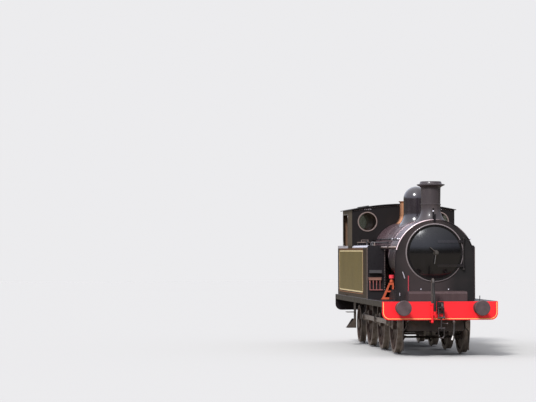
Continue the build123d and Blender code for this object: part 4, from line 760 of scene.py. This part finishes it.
# The edge bead above this height takes the painted highlight; the legs below it are plain black
BRIGHT_FROM = RAIL + 2.32
ANY_HEIGHT = 9
EDGE_Y = PLATE_FRONT + 0.004
bead("plate_edge_bead", EDGE_Y, ARCH_R - 0.01, BRIGHT_FROM, ANY_HEIGHT, 0.013, edge_painted_highlight)
bead("plate_edge_leg", EDGE_Y, ARCH_R - 0.01, 0, BRIGHT_FROM + 0.03, 0.0125, smoke_black)
bead("wrapper_back_bead", SMOKEBOX_HIGH.y - 0.01, SKIN_R, ARCH_Z, ANY_HEIGHT, 0.007, band_painted_highlight)

EDGE_ROWS = 16
EDGE_PITCH = 0.055
edge = ARCH_R - 0.034
places = [((x, PLATE_FRONT, z), FORWARD) for x, z in arch(edge, FOOTPLATE_TOP + 0.06, 56)]
for side in (-1, 1):
    for i in range(1, EDGE_ROWS + 1):
        places.append(((side * edge, PLATE_FRONT, ARCH_Z - i * EDGE_PITCH), FORWARD))
rivets("front_plate_rivets", places, 0.01, smoke_black)

places = []
OVER_ROWS = 57
for y in (PLATE_BACK + 0.035, SMOKEBOX_HIGH.y - 0.045):
    for i in range(OVER_ROWS):
        angle = math.pi * i / (OVER_ROWS - 1)
        outward = (math.cos(angle), 0, math.sin(angle))
        places.append(((SKIN_R * outward[0], y, ARCH_Z + SKIN_R * outward[2]), outward))
rivets("wrapper_rivets", places, 0.01, smoke_black)


# Small fittings of the front plate
COVER_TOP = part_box("front_cover")[1].z
FRONT_Y = PLATE_FRONT - 0.012
# The link and the peg, and the studs below, are near white painted highlights
for name, points, radius, material, slot in (
    ("plate_rod", ((-0.594, COVER_TOP - 0.01), (-0.594, RAIL + 1.75)), 0.012, red_rod, "beam_red"),
    (
        "plate_link", ((-0.727, RAIL + 1.838), (-0.7, RAIL + 1.765), (-0.677, RAIL + 1.69)),
        0.011, painted_sky_highlight, "bright_steel",
    ),
    ("plate_peg", ((-0.79, RAIL + 1.3), (-0.79, RAIL + 1.37)), 0.009, painted_sky_highlight, "bright_steel"),
):
    tube(name, [(x, FRONT_Y, z) for x, z in points], radius, material)
places = [((x, PLATE_FRONT, COVER_TOP + 0.035), FORWARD) for x in (-0.31, 0.31)]
rivets("plate_studs", places, 0.016, painted_sky_highlight)


# Grab rails beside the smokebox, with a knob at each end
GRAB_X = 0.812
GRAB_Z = BOILER_Z + 0.31
GRAB_Y = (BEAM_FACE + 0.86, BEAM_FACE + 1.72)
GRAB_R = 0.012
KNOB = [(0.004, -0.022), (0.015, -0.016), (0.021, -0.006), (0.022, 0.004), (0.017, 0.014), (0.004, 0.022)]
STALK = [(0.02, -0.05), (0.01, -0.03), (0.01, 0.0)]
for side, word in SIDES:
    x = side * GRAB_X
    tube("grab_rail_" + word, [(x, y, GRAB_Z) for y in GRAB_Y], GRAB_R, smoke_black)
    shape = bmesh.new()
    for y in GRAB_Y:
        lathe(shape, KNOB, (x, y, GRAB_Z), (side, 0, 0), 16)
        lathe(shape, STALK, (x, y, GRAB_Z), (side, 0, 0), 12)
    # The knobs are near white painted highlights
    piece("grab_knobs_" + word, from_bmesh("grab_knobs", shape), painted_sky_highlight)


# Pipe from the smokebox's side to the right-hand tank, and the bracket before the chimney
PIPE_X = -0.92
PIPE_Z = BOILER_Z + 0.125
PIPE_R = 0.022
FLANGE_R = 0.045
FLANGE_THICK = 0.012
PIPE_PATH = (
    (-0.84, BEAM_FACE + 0.92), (PIPE_X + 0.02, BEAM_FACE + 0.93), (PIPE_X, BEAM_FACE + 0.96),
    (PIPE_X, TANK_LOW.y + 0.004),
)
FLANGE = [(PIPE_R, -FLANGE_THICK), (FLANGE_R, -FLANGE_THICK), (FLANGE_R, 0.0), (PIPE_R, 0.0)]
# The pipe's pale colour is a painted highlight
tube("side_pipe", [(x, y, PIPE_Z) for x, y in PIPE_PATH], PIPE_R, pale_metal_and_highlight)
shape = bmesh.new()
for y in (TANK_LOW.y, BEAM_FACE + 1.5):
    lathe(shape, FLANGE, (PIPE_X, y, PIPE_Z), BACKWARD, 24, True)
piece("side_pipe_flanges", from_bmesh("side_pipe_flanges", shape, False), dark_steel)

BRACKET_Y = BEAM_FACE + 0.93
BRACKET_HALF = 0.017
shape = bmesh.new()
bar(
    shape, (-BRACKET_HALF, BRACKET_Y, ARCH_Z + SKIN_R - 0.006),
    (BRACKET_HALF, BRACKET_Y + 0.014, RAIL + 3.26),
)
piece("chimney_bracket", from_bmesh("chimney_bracket", shape, False), black)
# The bolt head is a near white painted highlight
rivets("chimney_bracket_bolt", [((0, BRACKET_Y, RAIL + 3.19), FORWARD)], 0.02, painted_sky_highlight)


# Rivets of the tanks' fronts, and the edges of tanks and footplate
# The inner rivet rows are pale: a painted highlight
places = []
for side in (-1, 1):
    x = side * (TANK_INNER + 0.014)
    column = line_of((x, TANK_LOW.y, FOOTPLATE_TOP + 0.1), (x, TANK_LOW.y, TANK_TOP - 0.06), 20)
    places += [(point, FORWARD) for point in column]
rivets("tank_inner_rivets", places, 0.011, pale_metal_and_highlight)

places = []
top = TANK_TOP - 0.045
for side in (-1, 1):
    x = side * (TANK_HALF - 0.03)
    inner, outer = side * (TANK_INNER + 0.06), side * (TANK_HALF - 0.09)
    column = line_of((x, TANK_LOW.y, FOOTPLATE_TOP + 0.05), (x, TANK_LOW.y, TANK_TOP - 0.06), 26)
    row = line_of((inner, TANK_LOW.y, top), (outer, TANK_LOW.y, top), 8)
    places += [(point, FORWARD) for point in column + row]
rivets("tank_front_rivets", places, 0.008, blue_black)

EDGE_R = 0.006
# The tank corner rods are pale: a painted highlight
for side, word in SIDES:
    x, y = side * (TANK_HALF - 0.002), TANK_LOW.y + 0.003
    corner = [(x, y, FOOTPLATE_TOP), (x, y, TANK_TOP - 0.055)]
    tube("tank_corner_" + word, corner, EDGE_R, pale_metal_and_highlight)
    x, end = side * (FOOTPLATE_HALF - EDGE_R), BEAM_FACE + 0.04
    edge = [(x, end, FOOTPLATE_TOP), (x, -end, FOOTPLATE_TOP)]
    tube("footplate_edge_" + word, edge, EDGE_R, dark_steel)


# Tank tops: lifting eyes on both, a vent pipe and two valves on the right-hand one
EYE_X = 1.05
EYE_R = 0.034
EYE_BAR = 0.008
EYE_BASE = 0.03
EYE_TURNS = (0, 1.05, 2.09, 3.14, 4.19, 5.24)
EYE = [(EYE_R + EYE_BAR * math.cos(turn), EYE_BAR * math.sin(turn)) for turn in EYE_TURNS]
for side, word in SIDES:
    x = side * EYE_X
    shape = bmesh.new()
    for y in (BEAM_FACE + 3.05, BEAM_FACE + 4.3, BEAM_FACE + 5.4):
        lathe(shape, EYE, (x, y, TANK_TOP + 0.028), (1, 0, 0), 18, True)
        bar(
            shape, (x - EYE_BASE, y - EYE_BASE, TANK_TOP - 0.002),
            (x + EYE_BASE, y + EYE_BASE, TANK_TOP + 0.008),
        )
    piece("tank_lifting_eyes_" + word, from_bmesh("tank_lifting_eyes", shape), pale_metal_and_highlight)

VENT_Y = BEAM_FACE + 3.3
VENT_PATH = ((-1.1, -0.005), (-1.1, 0.05), (-1.08, 0.07), (-0.72, 0.07), (-0.7, 0.068))
points = [(x, VENT_Y, TANK_TOP + rise) for x, rise in VENT_PATH]
tube("tank_vent_pipe", points, 0.014, step_plate)
VALVE = [(0.04, 0.0), (0.04, 0.014), (0.02, 0.02), (0.02, 0.07), (0.03, 0.075), (0.03, 0.09), (0.001, 0.094)]
shape = bmesh.new()
for x, y in ((-1.02, BEAM_FACE + 3.6), (-1.12, BEAM_FACE + 3.85)):
    lathe(shape, VALVE, (x, y, TANK_TOP - 0.002), (0, 0, 1), 20)
piece("tank_valves", from_bmesh("tank_valves", shape), step_plate)


# Cab and bunker: beading of the side openings, roof strips, rivets
OPENING_FRONT = BEAM_FACE + 6.48
OPENING_REAR = BEAM_FACE + 7.44
OPENING_TOP = CAB_HIGH.z - 0.105
OPENING_CORNER = 0.1
path = [(OPENING_FRONT, TANK_TOP + 0.01)]
for centre_y, centre_z, start in (
    (OPENING_FRONT + OPENING_CORNER, OPENING_TOP - OPENING_CORNER, 180),
    (OPENING_REAR - OPENING_CORNER, OPENING_TOP - OPENING_CORNER, 90),
    (OPENING_REAR - OPENING_CORNER, TANK_TOP + OPENING_CORNER, 0),
):
    for i in range(7):
        angle = math.radians(start - 15 * i)
        y = centre_y + OPENING_CORNER * math.cos(angle)
        path.append((y, centre_z + OPENING_CORNER * math.sin(angle)))
path.append((DOOR_HIGH.y + 0.02, TANK_TOP))
for side, word in SIDES:
    x = side * (TANK_HALF + 0.001)
    tube("opening_beading_" + word, [(x, y, z) for y, z in path], 0.011, handle_steel)

ROOF_LOW, ROOF_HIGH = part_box("cab_roof")
ROOF_RISE = 0.135
ROOF_R = (TANK_HALF**2 + ROOF_RISE**2) / (2 * ROOF_RISE)
STRIP_X = 0.86
STRIP_HALF = 0.009
strip_z = ROOF_HIGH.z - (ROOF_R - math.sqrt(ROOF_R**2 - STRIP_X**2))
for side, word in SIDES:
    x = side * STRIP_X
    shape = bmesh.new()
    bar(
        shape, (x - STRIP_HALF, ROOF_LOW.y + 0.02, strip_z - 0.012),
        (x + STRIP_HALF, ROOF_HIGH.y - 0.02, strip_z + 0.018),
    )
    piece("roof_strip_" + word, from_bmesh("roof_strip", shape, False), roof_grey)


ROW_HALF = 1.2
ROW_COUNT = 60
ROW_DROP = 0.035
STUD_FROM = 0.8
STUD_PITCH = 0.048
STUD_Z = RAIL + 3.315


def under_roof(y, outward):
    """Places of a row of rivets just below the curve of the roof."""
    places = []
    for i in range(ROW_COUNT):
        x = ROW_HALF * (2 * i / (ROW_COUNT - 1) - 1)
        rise = ROOF_RISE * (1 - (x / TANK_HALF) ** 2)
        places.append(((x, y, CAB_HIGH.z + rise - ROW_DROP), outward))
    return places


# The pale front rivet row and the near white studs below are painted highlights
rivets("cab_front_rivets", under_roof(CAB_FRONT, FORWARD), 0.009, pale_metal_and_highlight)
rivets("cab_back_rivets", under_roof(CAB_BACK, BACKWARD), 0.009, black)
places = []
for side in (-1, 1):
    places += [((side * (STUD_FROM + STUD_PITCH * i), CAB_FRONT, STUD_Z), FORWARD) for i in range(4)]
rivets("cab_front_studs", places, 0.013, painted_sky_highlight)

back_y = BUNKER_HIGH.y
EDGE_ROW = 1.21
SEAMS = (-1.225, -0.42, 0.42, 1.225)
lines = [((-EDGE_ROW, z), (EDGE_ROW, z), 45) for z in (FOOTPLATE_TOP + 0.05, TANK_TOP - 0.06)]
lines += [((x, FOOTPLATE_TOP + 0.1), (x, TANK_TOP - 0.11), 19) for x in SEAMS]
places = []
for (x0, z0), (x1, z1), count in lines:
    places += [(point, BACKWARD) for point in line_of((x0, back_y, z0), (x1, back_y, z1), count)]
rivets("bunker_back_rivets", places, 0.009, black)


# Bolts of the buffer stocks, and the step on the right-hand tank's front
BUFFER_X = 0.864
BUFFER_Z = RAIL + 1.054
BOLT_R = 0.118
BOLT_FACE = BEAM_FACE - 0.028
places = []
for y, outward in ((BOLT_FACE, FORWARD), (-BOLT_FACE, BACKWARD)):
    for x in (-BUFFER_X, BUFFER_X):
        for i in range(6):
            angle = math.radians(60 * i + 30)
            point = (x + BOLT_R * math.cos(angle), y, BUFFER_Z + BOLT_R * math.sin(angle))
            places.append((point, outward))
rivets("buffer_bolts", places, 0.013, iron)

STEP_X = (-1.223, -0.931)
STEP_Y = TANK_LOW.y - 0.11
STEP_Z = RAIL + 1.79
STEP_THICK = 0.01
shape = bmesh.new()
bar(shape, (STEP_X[0], STEP_Y, STEP_Z), (STEP_X[1], TANK_LOW.y, STEP_Z + STEP_THICK))
bar(shape, (STEP_X[0], STEP_Y, STEP_Z + STEP_THICK), (STEP_X[1], STEP_Y + 0.006, STEP_Z + 0.07))
piece("tank_step", from_bmesh("tank_step", shape, False), step_plate)


# Hoses
VACUUM_X = -0.18
STAND_Y = BEAM_FACE - 0.04
STEAM_X = 0.3
STEAM_Z = BEAM_BOTTOM - 0.05
VACUUM_ROUTE = (
    (VACUUM_X, STAND_Y - 0.15, RAIL + 1.6),
    (VACUUM_X, STAND_Y - 0.15, RAIL + 1.49),
    (VACUUM_X + 0.008, STAND_Y - 0.16, RAIL + 1.37),
    (VACUUM_X + 0.022, STAND_Y - 0.172, RAIL + 1.24),
    (VACUUM_X + 0.034, STAND_Y - 0.168, RAIL + 1.105),
    (VACUUM_X + 0.038, STAND_Y - 0.136, RAIL + 0.98),
)
STEAM_ROUTE = (
    (STEAM_X, BEAM_FACE - 0.05, STEAM_Z - 0.045),
    (STEAM_X, BEAM_FACE - 0.05, STEAM_Z - 0.105),
    (STEAM_X - 0.005, BEAM_FACE - 0.06, STEAM_Z - 0.172),
    (STEAM_X - 0.016, BEAM_FACE - 0.076, STEAM_Z - 0.238),
    (STEAM_X - 0.032, BEAM_FACE - 0.09, STEAM_Z - 0.302),
)

steam_hose = hose("steam_hose_curve", STEAM_ROUTE, 0.022)
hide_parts("steam_hose")
vacuum_hose = hose("vacuum_hose_curve", VACUUM_ROUTE, 0.03)
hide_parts("vacuum_hose")


# Floor: pale where the camera sees it, ballast-coloured where the paint reflects it
FLOOR_SEEN = (0.46, 0.452, 0.437, 1)
BALLAST_LIGHT = (0.27, 0.23, 0.19, 1)
BALLAST_DARK = (0.18, 0.165, 0.13, 1)
shape = bmesh.new()
bmesh.ops.create_grid(shape, x_segments=1, y_segments=1, size=120)
floor = bpy.data.objects.new("floor", from_bmesh("floor", shape, False))
bpy.context.scene.collection.objects.link(floor)
floor_shader = Shader("floor")
seen = floor_shader.add("ShaderNodeLightPath").outputs["Is Camera Ray"]
ballast = floor_shader.mix(floor_shader.noise(0.8, 5), BALLAST_LIGHT, BALLAST_DARK)
floor_shader.feed(floor_shader.principled.inputs["Base Color"], floor_shader.mix(seen, ballast, FLOOR_SEEN))
floor_shader.set(Roughness=0.9, Specular_IOR_Level=0.0)
floor.data.materials.append(floor_shader.material)


# World: a plain backdrop for the camera, and for the rest a sky that wanes to the engine's left
BACKDROP = (0.84, 0.837, 0.853, 1)
WANE = (-0.1, 0.7, 1.05, 0.6)
SKY_STOPS = (
    (0.0, (0.12, 0.11, 0.085, 1)), (0.06, (0.15, 0.15, 0.12, 1)), (0.1, (0.3, 0.31, 0.3, 1)),
    (0.19, (0.95, 1.0, 1.2, 1)), (1.0, (1.45, 1.46, 1.52, 1)),
)
world = bpy.data.worlds.new("world")
bpy.context.scene.world = world
world.use_nodes = True
tree = world.node_tree
background = tree.nodes["Background"]
split = tree.nodes.new("ShaderNodeSeparateXYZ")
tree.links.new(tree.nodes.new("ShaderNodeTexCoord").outputs["Generated"], split.inputs[0])
sky = tree.nodes.new("ShaderNodeValToRGB")
tree.links.new(split.outputs[2], sky.inputs[0])
stops = sky.color_ramp.elements
while len(stops) < len(SKY_STOPS):
    stops.new(0.5)
for stop, (place, colour) in zip(stops, SKY_STOPS):
    stop.position = place
    stop.color = colour
wane = tree.nodes.new("ShaderNodeMapRange")
for socket, value in zip(wane.inputs[1:5], WANE):
    socket.default_value = value
tree.links.new(split.outputs[0], wane.inputs[0])
dimmed = tree.nodes.new("ShaderNodeVectorMath")
dimmed.operation = "SCALE"
tree.links.new(sky.outputs[0], dimmed.inputs[0])
tree.links.new(wane.outputs[0], dimmed.inputs["Scale"])
choice = tree.nodes.new("ShaderNodeMix")
choice.data_type = "RGBA"
tree.links.new(tree.nodes.new("ShaderNodeLightPath").outputs["Is Camera Ray"], choice.inputs[0])
tree.links.new(dimmed.outputs[0], choice.inputs[6])
choice.inputs[7].default_value = BACKDROP
tree.links.new(choice.outputs[2], background.inputs[0])
background.inputs[1].default_value = 1.0

sun_data = bpy.data.lights.new("sun", "SUN")
sun_data.energy = 3.3
sun_data.angle = math.radians(12)
sun = bpy.data.objects.new("sun", sun_data)
sun.rotation_euler = (math.radians(48), 0, math.radians(-28))
bpy.context.scene.collection.objects.link(sun)
bpy.context.scene.view_settings.view_transform = "Standard"
